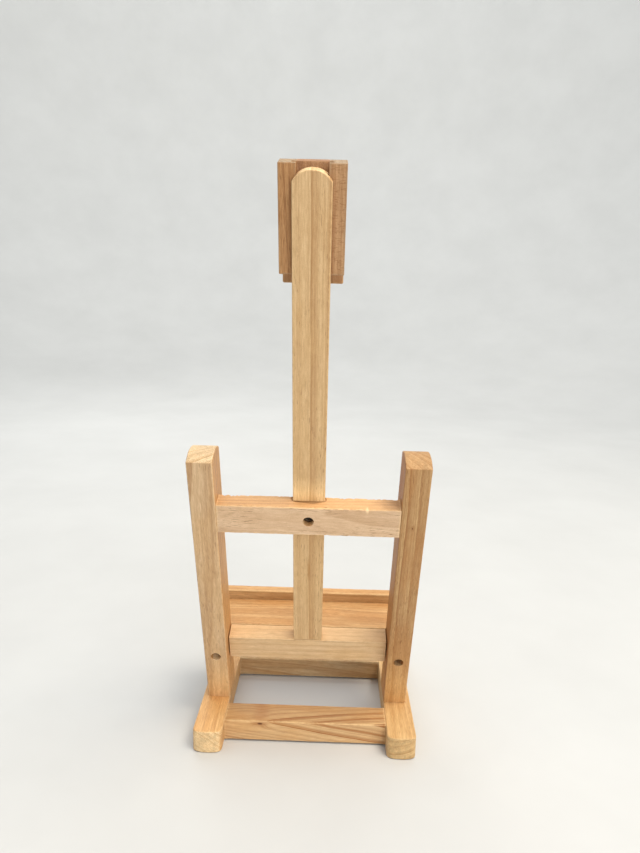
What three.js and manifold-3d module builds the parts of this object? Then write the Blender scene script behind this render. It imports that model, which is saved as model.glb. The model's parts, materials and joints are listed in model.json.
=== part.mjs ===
// Small rigid H-frame table easel in wood, with a picture ledge and a clamp
// block that slides on the mast. Millimetres, +Z up. The side that carries the
// picture faces -Y, the easel leans back towards +Y, and left is -X as seen
// from the picture side. The origin is the centre of the box it stands in, at
// the level of the surface it stands on.
import * as THREE from 'three';
import { mergeVertices } from 'three/addons/utils/BufferGeometryUtils.js';
import { RoundedBoxGeometry } from 'three/addons/geometries/RoundedBoxGeometry.js';
import Module from 'manifold-3d';

const wasm = await Module();
wasm.setup();

// ---- driving dimensions ---------------------------------------------------
const GAP = 0.3;                 // clearance between pieces that touch
const LEAN = 18;                 // degrees, frame leans back from vertical

const FOOT_W = 20, FOOT_H = 16, FOOT_L = 128;
const FOOT_IN = 57;              // centre line to the inner face of a foot
const FOOT_NOSE = 5.3;           // length of the rounded end of a foot

const RAIL_D = 20, RAIL_H = 15;
const RAIL_INSET = 13.8;         // foot end to the near face of a rail
const RAIL_X = FOOT_IN - GAP;

const UP_W = 16, UP_D = 24;      // upright section, across and front to back
const UP_S = 206.3;              // height of its rear arris, along the lean
const UP_CROWN = 208.5, UP_CROWN_O = 12, UP_FRONT_S = 204;
const UP_FROM_REAR = 40.8;       // rear end of the feet to the upright's foot
const UP_X = FOOT_IN + UP_W / 2;

const UB_S0 = 154.8, UB_S1 = 175.5, UB_O0 = 0.2, UB_O1 = 12.2;    // upper crossbar
const LB_S0 = 34.2, LB_S1 = 53.6, LB_O0 = 7.7, LB_O1 = 20.7;      // lower crossbar
const LB_X = 56.3;

const MAST_W = 20, MAST_O0 = 7.8, MAST_O1 = 17.3, MAST_S0 = 54.0, MAST_S1 = 369;
const MAST_ROUND = 5.6;          // rise of its rounded top
const GROOVE_O0 = 11.3, GROOVE_O1 = 14.3, GROOVE_X = 7.7;         // side grooves

const LEDGE_X = 73, LEDGE_S0 = 34.5, LEDGE_S1 = 50.3, LEDGE_O0 = 24.3, LEDGE_O1 = 50;
const LIP_T = 6, LIP_S1 = 58.5;

const SCREW_S = 42.4;            // screws from the uprights into the ledge
const BORE_R = 3.45;             // counterbores
const PILOT_R = 2.0, SHANK_R = 1.7, HEAD_R = 3.05;

const CL_X = 17, CL_S0 = 317, CL_S1 = 371.5;                      // clamp block
const CL_O0 = 11.6, CL_TOP_O = 24.4, CL_FRONT_O = 36, CL_SHOULDER_S = 346;
const CL_MOUTH = 8.15;           // half width of the channel
const CL_TRACK_O0 = 14.0, CL_TRACK_O1 = 17.7, CL_TRACK_X = 10.4;
const CL_LIP_S0 = 305, CL_LIP_T = 5;
const TS_S = 331, TS_R = 2.5;    // thumbscrew height and shaft radius
const INSERT_R = 4.6, INSERT_L = 8;

// ---- helpers --------------------------------------------------------------
const mats = {
  foot: ['#cfab7a', 0.62], rail: ['#d2ab78', 0.62], upright: ['#c9a777', 0.6],
  crossbar: ['#d0b28a', 0.62], mast: ['#d4b27f', 0.58], ledge: ['#cfa877', 0.62],
  cheek: ['#b38458', 0.55], spacer: ['#a0694a', 0.6], clamp_lip: ['#ad7f55', 0.55],
  dowel: ['#d8bd90', 0.7], steel: ['#8f8a80', 0.35, 1], brass: ['#b8914c', 0.3, 1],
};

function clean(geo) {
  let g = geo.clone();
  g.deleteAttribute('normal');
  g.deleteAttribute('uv');
  g = mergeVertices(g, 1e-4);
  const idx = [], a = g.index.array;
  for (let i = 0; i < a.length; i += 3) {
    if (a[i] !== a[i + 1] && a[i + 1] !== a[i + 2] && a[i] !== a[i + 2]) idx.push(a[i], a[i + 1], a[i + 2]);
  }
  return { vertProperties: new Float32Array(g.attributes.position.array), triVerts: new Uint32Array(idx) };
}

function solid(geo) {
  return new wasm.Manifold(new wasm.Mesh({ numProp: 3, ...clean(geo) }));
}

// rounded bar between two corners
function bar(x0, x1, y0, y1, z0, z1, r = 0.6, seg = 2) {
  const g = new RoundedBoxGeometry(x1 - x0, y1 - y0, z1 - z0, seg, r);
  return g.translate((x0 + x1) / 2, (y0 + y1) / 2, (z0 + z1) / 2);
}

// bar in the leaning frame: o is measured forwards from the uprights' rear face
const lbar = (x0, x1, o0, o1, s0, s1, r, seg) => bar(x0, x1, -o1, -o0, s0, s1, r, seg);

// plain box, used to cut
function block(x0, x1, y0, y1, z0, z1) {
  return new THREE.BoxGeometry(x1 - x0, y1 - y0, z1 - z0).translate((x0 + x1) / 2, (y0 + y1) / 2, (z0 + z1) / 2);
}

// outline extruded with eased arrises; basis gives where its x, y and depth go
function prism(pts, depth, ease, bx, by, bz, at, segs = 2) {
  const shape = pts instanceof THREE.Shape ? pts : new THREE.Shape(pts.map(([x, y]) => new THREE.Vector2(x, y)));
  const g = new THREE.ExtrudeGeometry(shape, {
    depth: depth - 2 * ease, bevelEnabled: ease > 0, bevelThickness: ease, bevelSize: ease,
    bevelOffset: -ease, bevelSegments: segs, curveSegments: 5, steps: 1,
  });
  g.translate(0, 0, ease);
  g.applyMatrix4(new THREE.Matrix4().makeBasis(bx, by, bz));
  return g.translate(...at);
}
const X = new THREE.Vector3(1, 0, 0), Y = new THREE.Vector3(0, 1, 0), Z = new THREE.Vector3(0, 0, 1);
const NY = new THREE.Vector3(0, -1, 0);

// closed turned shape from [radius, height] points that start and end on the axis
function turned(profile, n = 24) {
  return new THREE.LatheGeometry(profile.map(([r, h]) => new THREE.Vector2(r, h)), n).rotateX(Math.PI / 2);
}

// rod from height a to height b along +Z
function rod(r, a, b, n = 24, chamfer = 0) {
  const c = chamfer;
  const p = c > 0
    ? [[0, a], [r - c, a], [r, a + c], [r, b - c], [r - c, b], [0, b]]
    : [[0, a], [r, a], [r, b], [0, b]];
  return turned(p, n);
}
// the same rod laid along another axis and moved
const along = {
  x: (g) => g.rotateY(Math.PI / 2),
  y: (g) => g.rotateX(-Math.PI / 2),   // height becomes +Y
  o: (g) => g.rotateX(Math.PI / 2),    // height becomes -Y, the forward direction
  z: (g) => g,
};

const root = new THREE.Group();
const base = new THREE.Group();
const leaning = new THREE.Group();
const clamp = new THREE.Group();
const thumb = new THREE.Group();
leaning.add(clamp);
clamp.add(thumb);
base.add(leaning);
root.add(base);
leaning.position.set(0, -UP_FROM_REAR, FOOT_H);
leaning.rotation.x = -LEAN * Math.PI / 180;
leaning.updateMatrix();
const toLean = leaning.matrix.clone().invert();

function put(group, name, shape, mat, cuts = [], adds = []) {
  let m = solid(shape);
  for (const a of adds) m = m.add(solid(a));
  for (const c of cuts) m = m.subtract(solid(c));
  const out = m.getMesh();
  const g = new THREE.BufferGeometry();
  const np = out.numProp, n = out.vertProperties.length / np, pos = new Float32Array(n * 3);
  for (let i = 0; i < n; i++) for (let k = 0; k < 3; k++) pos[i * 3 + k] = out.vertProperties[i * np + k];
  g.setAttribute('position', new THREE.BufferAttribute(pos, 3));
  g.setIndex(new THREE.BufferAttribute(new Uint32Array(out.triVerts), 1));
  const flat = g.toNonIndexed();
  flat.computeVertexNormals();
  const [color, roughness, metalness = 0] = mats[mat];
  const mesh = new THREE.Mesh(flat, new THREE.MeshStandardMaterial({ color, roughness, metalness }));
  mesh.name = name;
  group.add(mesh);
  return mesh;
}

// cross-head wood screw: head's top at height 0, shank towards +Z
function screw(len, headR = HEAD_R, headT = 2.0, shankR = SHANK_R) {
  return turned([[0, 0], [headR * 0.55, 0.05], [headR - 0.25, 0.35], [headR, 0.8], [headR, headT], [shankR, headT],
    [shankR, len - 3.2], [0.35, len], [0, len]], 18);
}
function crossSlot(w = 0.9, l = 3.6, depth = 1.1) {
  return [block(-l / 2, l / 2, -w / 2, w / 2, -1, depth), block(-w / 2, w / 2, -l / 2, l / 2, -1, depth)];
}

// ---- base -----------------------------------------------------------------
// y runs forwards as -Y from the rear end of the feet, which is at y = 0 here
const railAt = [RAIL_INSET, FOOT_L - RAIL_INSET - RAIL_D];       // near faces, from the rear
const RAIL_Z0 = FOOT_H - RAIL_H;
const RAIL_DOWEL_R = 3.0, RAIL_DOWEL_IN = 9, RAIL_DOWEL_OUT = 15;

function footOutline(xc) {
  const w = FOOT_W / 2, n = FOOT_NOSE, k = 5.6, e = 0.5, L = FOOT_L;
  const s = new THREE.Shape();
  s.moveTo(xc - w, -n);
  s.lineTo(xc - w, -(L - n));
  s.quadraticCurveTo(xc - w, -(L - 1.0), xc - k, -(L - e));
  s.quadraticCurveTo(xc, -(L + e), xc + k, -(L - e));
  s.quadraticCurveTo(xc + w, -(L - 1.0), xc + w, -(L - n));
  s.lineTo(xc + w, -n);
  s.quadraticCurveTo(xc + w, -1.0, xc + k, -e);
  s.quadraticCurveTo(xc, e, xc - k, -e);
  s.quadraticCurveTo(xc - w, -1.0, xc - w, -n);
  return s;
}

const UP_DOWEL_Y = -(UP_FROM_REAR + 16.2), UP_SCREW_Y = -(UP_FROM_REAR + 6.4);
const UP_DOWEL_R = 3.0;

for (const [side, g] of [['left', -1], ['right', 1]]) {
  const xc = g * (FOOT_IN + FOOT_W / 2);
  const xu = g * UP_X;
  const cuts = [];
  for (const y of railAt) {
    cuts.push(along.x(rod(RAIL_DOWEL_R + GAP, -RAIL_DOWEL_IN, 1, 16))
      .applyMatrix4(new THREE.Matrix4().makeRotationZ(g > 0 ? Math.PI : 0))
      .translate(g * FOOT_IN, -(y + RAIL_D / 2), RAIL_Z0 + RAIL_H / 2));
  }
  cuts.push(rod(UP_DOWEL_R + GAP, FOOT_H - 9, FOOT_H + 1, 16).translate(xu, UP_DOWEL_Y, 0));
  cuts.push(rod(PILOT_R, -1, FOOT_H + 1, 16).translate(xu, UP_SCREW_Y, 0));
  cuts.push(rod(4.0, -1, 5.2, 24).translate(xu, UP_SCREW_Y, 0));
  put(base, `foot_${side}`, prism(footOutline(xc), FOOT_H, 0.6, X, Y, Z, [0, 0, 0]), 'foot', cuts);

  put(base, `foot_screw_${side}`, screw(31, 3.5, 2.2, 1.7).translate(xu, UP_SCREW_Y, 2.7), 'steel',
    crossSlot(1.0, 4.0, 1.3).map((c) => c.translate(xu, UP_SCREW_Y, 2.7)));
  put(base, `upright_dowel_${side}`, rod(UP_DOWEL_R, FOOT_H - 8.6, FOOT_H + 10.5, 16, 0.6).translate(xu, UP_DOWEL_Y, 0), 'dowel');
}

for (const [i, end] of [[0, 'rear'], [1, 'front']]) {
  const y = railAt[i], yc = -(y + RAIL_D / 2), zc = RAIL_Z0 + RAIL_H / 2;
  const cuts = [-1, 1].map((g) => along.x(rod(RAIL_DOWEL_R + GAP, -1, RAIL_DOWEL_OUT, 16))
    .applyMatrix4(new THREE.Matrix4().makeRotationZ(g > 0 ? Math.PI : 0)).translate(g * RAIL_X, yc, zc));
  put(base, `${end}_base_rail`, bar(-RAIL_X, RAIL_X, -(y + RAIL_D), -y, RAIL_Z0, FOOT_H, 0.55), 'rail', cuts);
  for (const [side, g] of [['left', -1], ['right', 1]]) {
    put(base, `${end}_rail_dowel_${side}`,
      along.x(rod(RAIL_DOWEL_R, -(RAIL_DOWEL_OUT - 0.9), RAIL_DOWEL_IN - 0.4, 16, 0.6))
        .applyMatrix4(new THREE.Matrix4().makeRotationZ(g > 0 ? 0 : Math.PI)).translate(g * FOOT_IN, yc, zc), 'dowel');
  }
}

// ---- leaning frame --------------------------------------------------------
const UB_DOWEL_R = 2.5, LB_DOWEL_R = 2.5;
const UB_SC = (UB_S0 + UB_S1) / 2, UB_OC = (UB_O0 + UB_O1) / 2;
const LB_SC = (LB_S0 + LB_S1) / 2, LB_OC = (LB_O0 + LB_O1) / 2;
const t = LEAN * Math.PI / 180;
const footCut = (o) => (GAP - o * Math.sin(t)) / Math.cos(t);     // level cut that stands on the foot

function crown() {                                                // crowned top, rear to front
  const p = [];
  const a = new THREE.Vector2(0, UP_S), b = new THREE.Vector2(UP_CROWN_O, UP_CROWN), c = new THREE.Vector2(UP_D, UP_FRONT_S);
  const k = new THREE.Vector2(2 * b.x - (a.x + c.x) / 2, 2 * b.y - (a.y + c.y) / 2);
  const q = new THREE.QuadraticBezierCurve(a, k, c);
  for (let i = 0; i <= 10; i++) { const v = q.getPoint(i / 10); p.push([v.x, v.y]); }
  return p;
}

for (const [side, g] of [['left', -1], ['right', 1]]) {
  const xu = g * UP_X, inner = g * FOOT_IN;
  const prof = [[0, footCut(0)], ...crown(), [UP_D, footCut(UP_D)]].map(([o, s]) => [-o, s]);
  const cuts = [
    // screw into the ledge
    along.o(rod(BORE_R, -1, 8, 28)).translate(xu, 0, SCREW_S),
    along.o(rod(PILOT_R, 7, UP_D + 1, 16)).translate(xu, 0, SCREW_S),
    // crossbar dowels
    along.x(rod(UB_DOWEL_R + GAP, -1, 9, 16)).applyMatrix4(new THREE.Matrix4().makeRotationZ(g > 0 ? 0 : Math.PI))
      .translate(inner, -UB_OC, UB_SC),
    along.x(rod(LB_DOWEL_R + GAP, -1, 5.2, 16)).applyMatrix4(new THREE.Matrix4().makeRotationZ(g > 0 ? 0 : Math.PI))
      .translate(inner, -LB_OC, LB_SC),
    // level dowel and screw from the foot
    rod(UP_DOWEL_R + GAP, FOOT_H - 2, FOOT_H + 11, 16).translate(xu, UP_DOWEL_Y, 0).applyMatrix4(toLean),
    rod(PILOT_R, FOOT_H - 2, FOOT_H + 18.5, 16).translate(xu, UP_SCREW_Y, 0).applyMatrix4(toLean),
  ];
  put(leaning, `upright_${side}`, prism(prof, UP_W, 0.8, Y, Z, X, [xu - UP_W / 2, 0, 0], 3), 'upright', cuts);

  put(leaning, `ledge_screw_${side}`, along.o(screw(32)).translate(xu, -6, SCREW_S), 'steel',
    crossSlot().map((c) => along.o(c).translate(xu, -6, SCREW_S)));
  put(leaning, `upper_dowel_${side}`, along.x(rod(UB_DOWEL_R, -13.5, 8.6, 16, 0.5))
    .applyMatrix4(new THREE.Matrix4().makeRotationZ(g > 0 ? 0 : Math.PI)).translate(inner, -UB_OC, UB_SC), 'dowel');
  put(leaning, `lower_dowel_${side}`, along.x(rod(LB_DOWEL_R, -13.5, 4.8, 16, 0.5))
    .applyMatrix4(new THREE.Matrix4().makeRotationZ(g > 0 ? 0 : Math.PI)).translate(inner, -LB_OC, LB_SC), 'dowel');
}

const UB_X = FOOT_IN - GAP, UB_BORE = 5.3, MAST_SCREW_O = 3.3;
put(leaning, 'upper_crossbar', lbar(-UB_X, UB_X, UB_O0, UB_O1, UB_S0, UB_S1, 0.5), 'crossbar', [
  block(-(MAST_W / 2 + GAP), MAST_W / 2 + GAP, -(UB_O1 + 1), -(MAST_O0 - GAP), UB_S0 - 1, UB_S1 + 1),
  along.o(rod(BORE_R, -1, UB_BORE + UB_O0, 28)).translate(0, 0, UB_SC),
  along.o(rod(PILOT_R, 1, UB_O1 + 1, 16)).translate(0, 0, UB_SC),
  ...[-1, 1].map((g) => along.x(rod(UB_DOWEL_R + GAP, -1, 14, 16))
    .applyMatrix4(new THREE.Matrix4().makeRotationZ(g > 0 ? Math.PI : 0)).translate(g * UB_X, -UB_OC, UB_SC)),
]);

const MAST_DOWEL_R = 2.0, MAST_DOWEL_O = 12.6;
put(leaning, 'lower_crossbar', lbar(-LB_X, LB_X, LB_O0, LB_O1, LB_S0, LB_S1, 0.5), 'crossbar', [
  ...[-1, 1].map((g) => along.x(rod(LB_DOWEL_R + GAP, -1, 14, 16))
    .applyMatrix4(new THREE.Matrix4().makeRotationZ(g > 0 ? Math.PI : 0)).translate(g * LB_X, -LB_OC, LB_SC)),
  rod(MAST_DOWEL_R + GAP, LB_S1 - 9, LB_S1 + 1, 16).translate(0, -MAST_DOWEL_O, 0),
]);

// mast: straight strip, rounded top, a groove down each side
{
  const w = MAST_W / 2, r = (w * w + MAST_ROUND * MAST_ROUND) / (2 * MAST_ROUND), cz = MAST_S1 - r;
  const a0 = Math.asin(w / r), pts = [[-w, MAST_S0], [w, MAST_S0]];
  for (let i = 0; i <= 16; i++) { const a = a0 - (2 * a0 * i) / 16; pts.push([r * Math.sin(a), cz + r * Math.cos(a)]); }
  put(leaning, 'mast', prism(pts, MAST_O1 - MAST_O0, 0.5, X, Z, NY, [0, -MAST_O0, 0]), 'mast', [
    block(-w - 1, -GROOVE_X, -GROOVE_O1, -GROOVE_O0, MAST_S0 - 1, MAST_S1 + 1),
    block(GROOVE_X, w + 1, -GROOVE_O1, -GROOVE_O0, MAST_S0 - 1, MAST_S1 + 1),
    along.o(rod(PILOT_R, MAST_O0 - 1, MAST_O1 - 1.2, 16)).translate(0, 0, UB_SC),
    rod(MAST_DOWEL_R + GAP, MAST_S0 - 1, MAST_S0 + 11, 16).translate(0, -MAST_DOWEL_O, 0),
  ]);
}
put(leaning, 'mast_screw', along.o(screw(12.0, HEAD_R, 1.9)).translate(0, -(UB_O0 + MAST_SCREW_O), UB_SC), 'steel',
  crossSlot().map((c) => along.o(c).translate(0, -(UB_O0 + MAST_SCREW_O), UB_SC)));
put(leaning, 'mast_dowel', rod(MAST_DOWEL_R, LB_S1 - 8.6, MAST_S0 + 10.5, 16, 0.4).translate(0, -MAST_DOWEL_O, 0), 'dowel');

// ledge
put(leaning, 'ledge_board', lbar(-LEDGE_X, LEDGE_X, LEDGE_O0, LEDGE_O1, LEDGE_S0, LEDGE_S1, 0.6), 'ledge',
  [-1, 1].map((g) => along.o(rod(PILOT_R, LEDGE_O0 - 1, 39, 16)).translate(g * UP_X, 0, SCREW_S)));
put(leaning, 'ledge_lip', lbar(-LEDGE_X, LEDGE_X, LEDGE_O1 + GAP, LEDGE_O1 + GAP + LIP_T, LEDGE_S0, LIP_S1, 1.4, 2), 'ledge');

// ---- clamp ----------------------------------------------------------------
const blockProfile = (o0) => [[o0, CL_S0], [o0, CL_S1], [CL_TOP_O, CL_S1], [CL_FRONT_O, CL_SHOULDER_S], [CL_FRONT_O, CL_S0]]
  .map(([o, s]) => [-o, s]);
for (const [side, g] of [['left', -1], ['right', 1]]) {
  const x0 = g > 0 ? CL_MOUTH : -CL_X;
  put(clamp, `clamp_cheek_${side}`,
    prism(blockProfile(CL_O0), CL_X - CL_MOUTH, 0.35, Y, Z, X, [x0, 0, 0]), 'cheek', [
      g > 0 ? block(0, CL_TRACK_X, -CL_TRACK_O1, -CL_TRACK_O0, CL_S0 - 1, CL_S1 + 1)
        : block(-CL_TRACK_X, 0, -CL_TRACK_O1, -CL_TRACK_O0, CL_S0 - 1, CL_S1 + 1),
    ]);
}
const SP_X = CL_MOUTH - GAP, SP_O0 = CL_TRACK_O1, LIPF = CL_FRONT_O + GAP;
put(clamp, 'clamp_spacer', prism(blockProfile(SP_O0), 2 * SP_X, 0.25, Y, Z, X, [-SP_X, 0, 0]), 'spacer', [
  along.o(rod(TS_R + 0.6, SP_O0 - 1, CL_FRONT_O + 1, 24)).translate(0, 0, TS_S),
  along.o(rod(INSERT_R + GAP, CL_FRONT_O - INSERT_L - 0.6, CL_FRONT_O + 1, 24)).translate(0, 0, TS_S),
]);
put(clamp, 'clamp_lip', lbar(-CL_X, CL_X, LIPF, LIPF + CL_LIP_T, CL_LIP_S0, CL_SHOULDER_S - 1, 0.9, 2), 'clamp_lip', [
  along.o(rod(TS_R + 0.8, LIPF - 1, LIPF + CL_LIP_T + 1, 24)).translate(0, 0, TS_S),
]);
// insert is a flanged brass bush
put(clamp, 'clamp_insert', along.o(turned([[0, CL_FRONT_O - INSERT_L], [INSERT_R - 0.5, CL_FRONT_O - INSERT_L],
  [INSERT_R, CL_FRONT_O - INSERT_L + 0.6], [INSERT_R, CL_FRONT_O - 0.1], [0, CL_FRONT_O - 0.1]], 24)).translate(0, 0, TS_S), 'brass', [
  along.o(rod(TS_R + 0.2, 0, 60, 24)).translate(0, 0, TS_S),
]);

// thumbscrew: knurled head, shaft with its tip on the mast
{
  const o0 = MAST_O1 + GAP, oh = LIPF + CL_LIP_T + 0.6, headT = 6.5, n = 20;
  const pts = [];
  for (let i = 0; i < n * 2; i++) {
    const a = (i / (n * 2)) * Math.PI * 2, r = i % 2 ? 6.6 : 7.2;
    pts.push([r * Math.cos(a), r * Math.sin(a)]);
  }
  const head = prism(pts, headT, 0.6, X, Y, Z, [0, 0, oh], 1);
  const shaft = [[0, o0], [1.6, o0], [TS_R, o0 + 0.9]];
  for (let i = 0; i < 3; i++) shaft.push([TS_R, oh - 3.0 + i * 0.8], [TS_R - 0.35, oh - 2.6 + i * 0.8]);
  shaft.push([TS_R, oh - 0.5], [TS_R, oh + 2], [0, oh + 2]);
  const collar = turned([[0, oh - 0.2], [3.6, oh - 0.2], [3.9, oh + 0.1], [3.9, oh + 1], [0, oh + 1]], 24);
  put(thumb, 'clamp_thumbscrew', along.o(head).translate(0, 0, TS_S), 'brass', [
    along.o(turned([[0, oh + headT - 0.8], [4.6, oh + headT - 0.8], [4.9, oh + headT + 1], [0, oh + headT + 1]], 24)).translate(0, 0, TS_S),
  ], [
    along.o(turned(shaft, 24)).translate(0, 0, TS_S),
    along.o(collar).translate(0, 0, TS_S),
    along.o(turned([[0, oh + 2], [3.0, oh + 2], [3.0, oh + headT - 0.3], [2.6, oh + headT], [0, oh + headT + 0.05]], 24)).translate(0, 0, TS_S),
  ]);
}

// centre the box it stands in on the origin
root.updateMatrixWorld(true);
const box = new THREE.Box3().setFromObject(root, true);
base.position.y = -(box.min.y + box.max.y) / 2;
root.updateMatrixWorld(true);

export default root;
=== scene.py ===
import json
import math
import random

import bmesh
import bpy
import numpy as np
from mathutils import Matrix, Vector, noise

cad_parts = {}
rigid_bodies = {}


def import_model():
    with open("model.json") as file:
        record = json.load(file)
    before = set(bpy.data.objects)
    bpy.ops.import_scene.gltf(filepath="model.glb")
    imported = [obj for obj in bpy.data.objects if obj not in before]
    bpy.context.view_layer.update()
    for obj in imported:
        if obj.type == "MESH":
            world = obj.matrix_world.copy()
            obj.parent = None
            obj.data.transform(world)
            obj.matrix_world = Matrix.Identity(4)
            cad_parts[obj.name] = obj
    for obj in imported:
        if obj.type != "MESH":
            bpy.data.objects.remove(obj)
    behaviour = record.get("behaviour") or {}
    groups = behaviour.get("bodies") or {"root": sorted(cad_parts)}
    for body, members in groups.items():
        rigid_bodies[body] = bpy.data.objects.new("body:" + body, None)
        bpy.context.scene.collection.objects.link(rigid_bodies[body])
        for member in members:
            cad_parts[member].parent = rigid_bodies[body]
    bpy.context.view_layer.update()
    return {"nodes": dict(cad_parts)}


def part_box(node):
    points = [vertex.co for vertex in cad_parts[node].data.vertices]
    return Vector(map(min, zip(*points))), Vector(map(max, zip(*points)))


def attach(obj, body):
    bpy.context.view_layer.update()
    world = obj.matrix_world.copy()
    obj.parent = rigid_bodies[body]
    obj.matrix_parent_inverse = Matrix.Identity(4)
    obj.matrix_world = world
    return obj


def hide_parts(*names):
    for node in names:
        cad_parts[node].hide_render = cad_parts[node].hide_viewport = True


for _o in list(bpy.data.objects):
    bpy.data.objects.remove(_o, do_unlink=True)

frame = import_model()
NODES = frame["nodes"]

LEAN = math.radians(18.0)              # the frame leans back by this much
TO_LOCAL = Matrix.Rotation(LEAN, 3, "X")   # row frame -> leaning frame: x, -forward, up the mast
random.seed(7)


def srgb(r, g, b):
    """0-255 display colour to the renderer's linear colour."""
    out = []
    for v in (r, g, b):
        v = v / 255.0
        out.append(v / 12.92 if v <= 0.04045 else ((v + 0.055) / 1.055) ** 2.4)
    return (out[0], out[1], out[2], 1.0)


# ---------------------------------------------------------------------------
# node helpers
# ---------------------------------------------------------------------------
class Tree:
    def __init__(self, tree):
        self.t = tree
        self.x = 0

    def node(self, kind, **props):
        n = self.t.nodes.new(kind)
        self.x += 1
        n.location = (self.x * 40.0, -(self.x % 9) * 60.0)
        for k, v in props.items():
            setattr(n, k, v)
        return n

    def put(self, socket, value):
        if value is None:
            return
        if isinstance(value, bpy.types.NodeSocket):
            self.t.links.new(value, socket)
        else:
            socket.default_value = value

    def m(self, op, a, b=None, c=None, clamp=False):
        n = self.node("ShaderNodeMath", operation=op, use_clamp=clamp)
        for i, v in enumerate((a, b, c)):
            self.put(n.inputs[i], v)
        return n.outputs[0]

    def v(self, op, a, b=None, scale=None):
        n = self.node("ShaderNodeVectorMath", operation=op)
        self.put(n.inputs[0], a)
        if b is not None:
            self.put(n.inputs[1], b)
        if scale is not None:
            self.put(n.inputs["Scale"], scale)
        return n.outputs["Value"] if op in ("DOT_PRODUCT", "LENGTH", "DISTANCE") else n.outputs["Vector"]

    def xyz(self, vec):
        n = self.node("ShaderNodeSeparateXYZ")
        self.put(n.inputs[0], vec)
        return n.outputs[0], n.outputs[1], n.outputs[2]

    def vec(self, x, y, z):
        n = self.node("ShaderNodeCombineXYZ")
        for i, v in enumerate((x, y, z)):
            self.put(n.inputs[i], v)
        return n.outputs[0]

    def noise(self, vec, scale=1.0, detail=2.0, rough=0.5, dist=0.0, color=False):
        n = self.node("ShaderNodeTexNoise", noise_dimensions="3D")
        self.put(n.inputs["Vector"], vec)
        self.put(n.inputs["Scale"], scale)
        self.put(n.inputs["Detail"], detail)
        self.put(n.inputs["Roughness"], rough)
        self.put(n.inputs["Distortion"], dist)
        return n.outputs["Color"] if color else n.outputs["Fac"]

    def noise1(self, w, scale=1.0, detail=1.0, rough=0.5):
        n = self.node("ShaderNodeTexNoise", noise_dimensions="1D")
        self.put(n.inputs["W"], w)
        self.put(n.inputs["Scale"], scale)
        self.put(n.inputs["Detail"], detail)
        self.put(n.inputs["Roughness"], rough)
        return n.outputs["Fac"]

    def remap(self, value, a, b, c=0.0, d=1.0, smooth=False):
        n = self.node("ShaderNodeMapRange", clamp=True)
        if smooth:
            n.interpolation_type = "SMOOTHSTEP"
        for i, v in enumerate((value, a, b, c, d)):
            self.put(n.inputs[i], v)
        return n.outputs[0]

    def mix(self, fac, a, b, blend="MIX"):
        n = self.node("ShaderNodeMix", data_type="RGBA", blend_type=blend, clamp_factor=True)
        self.put(n.inputs[0], fac)
        self.put(n.inputs[6], a)
        self.put(n.inputs[7], b)
        return n.outputs[2]

    def scaled(self, vec, sx, sy, sz):
        return self.v("MULTIPLY", vec, (sx, sy, sz))


def principled(name):
    mat = bpy.data.materials.new(name)
    mat.use_nodes = True
    tree = mat.node_tree
    tree.nodes.clear()
    T = Tree(tree)
    out = T.node("ShaderNodeOutputMaterial")
    bsdf = T.node("ShaderNodeBsdfPrincipled")
    tree.links.new(bsdf.outputs[0], out.inputs[0])
    return mat, T, bsdf


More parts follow.
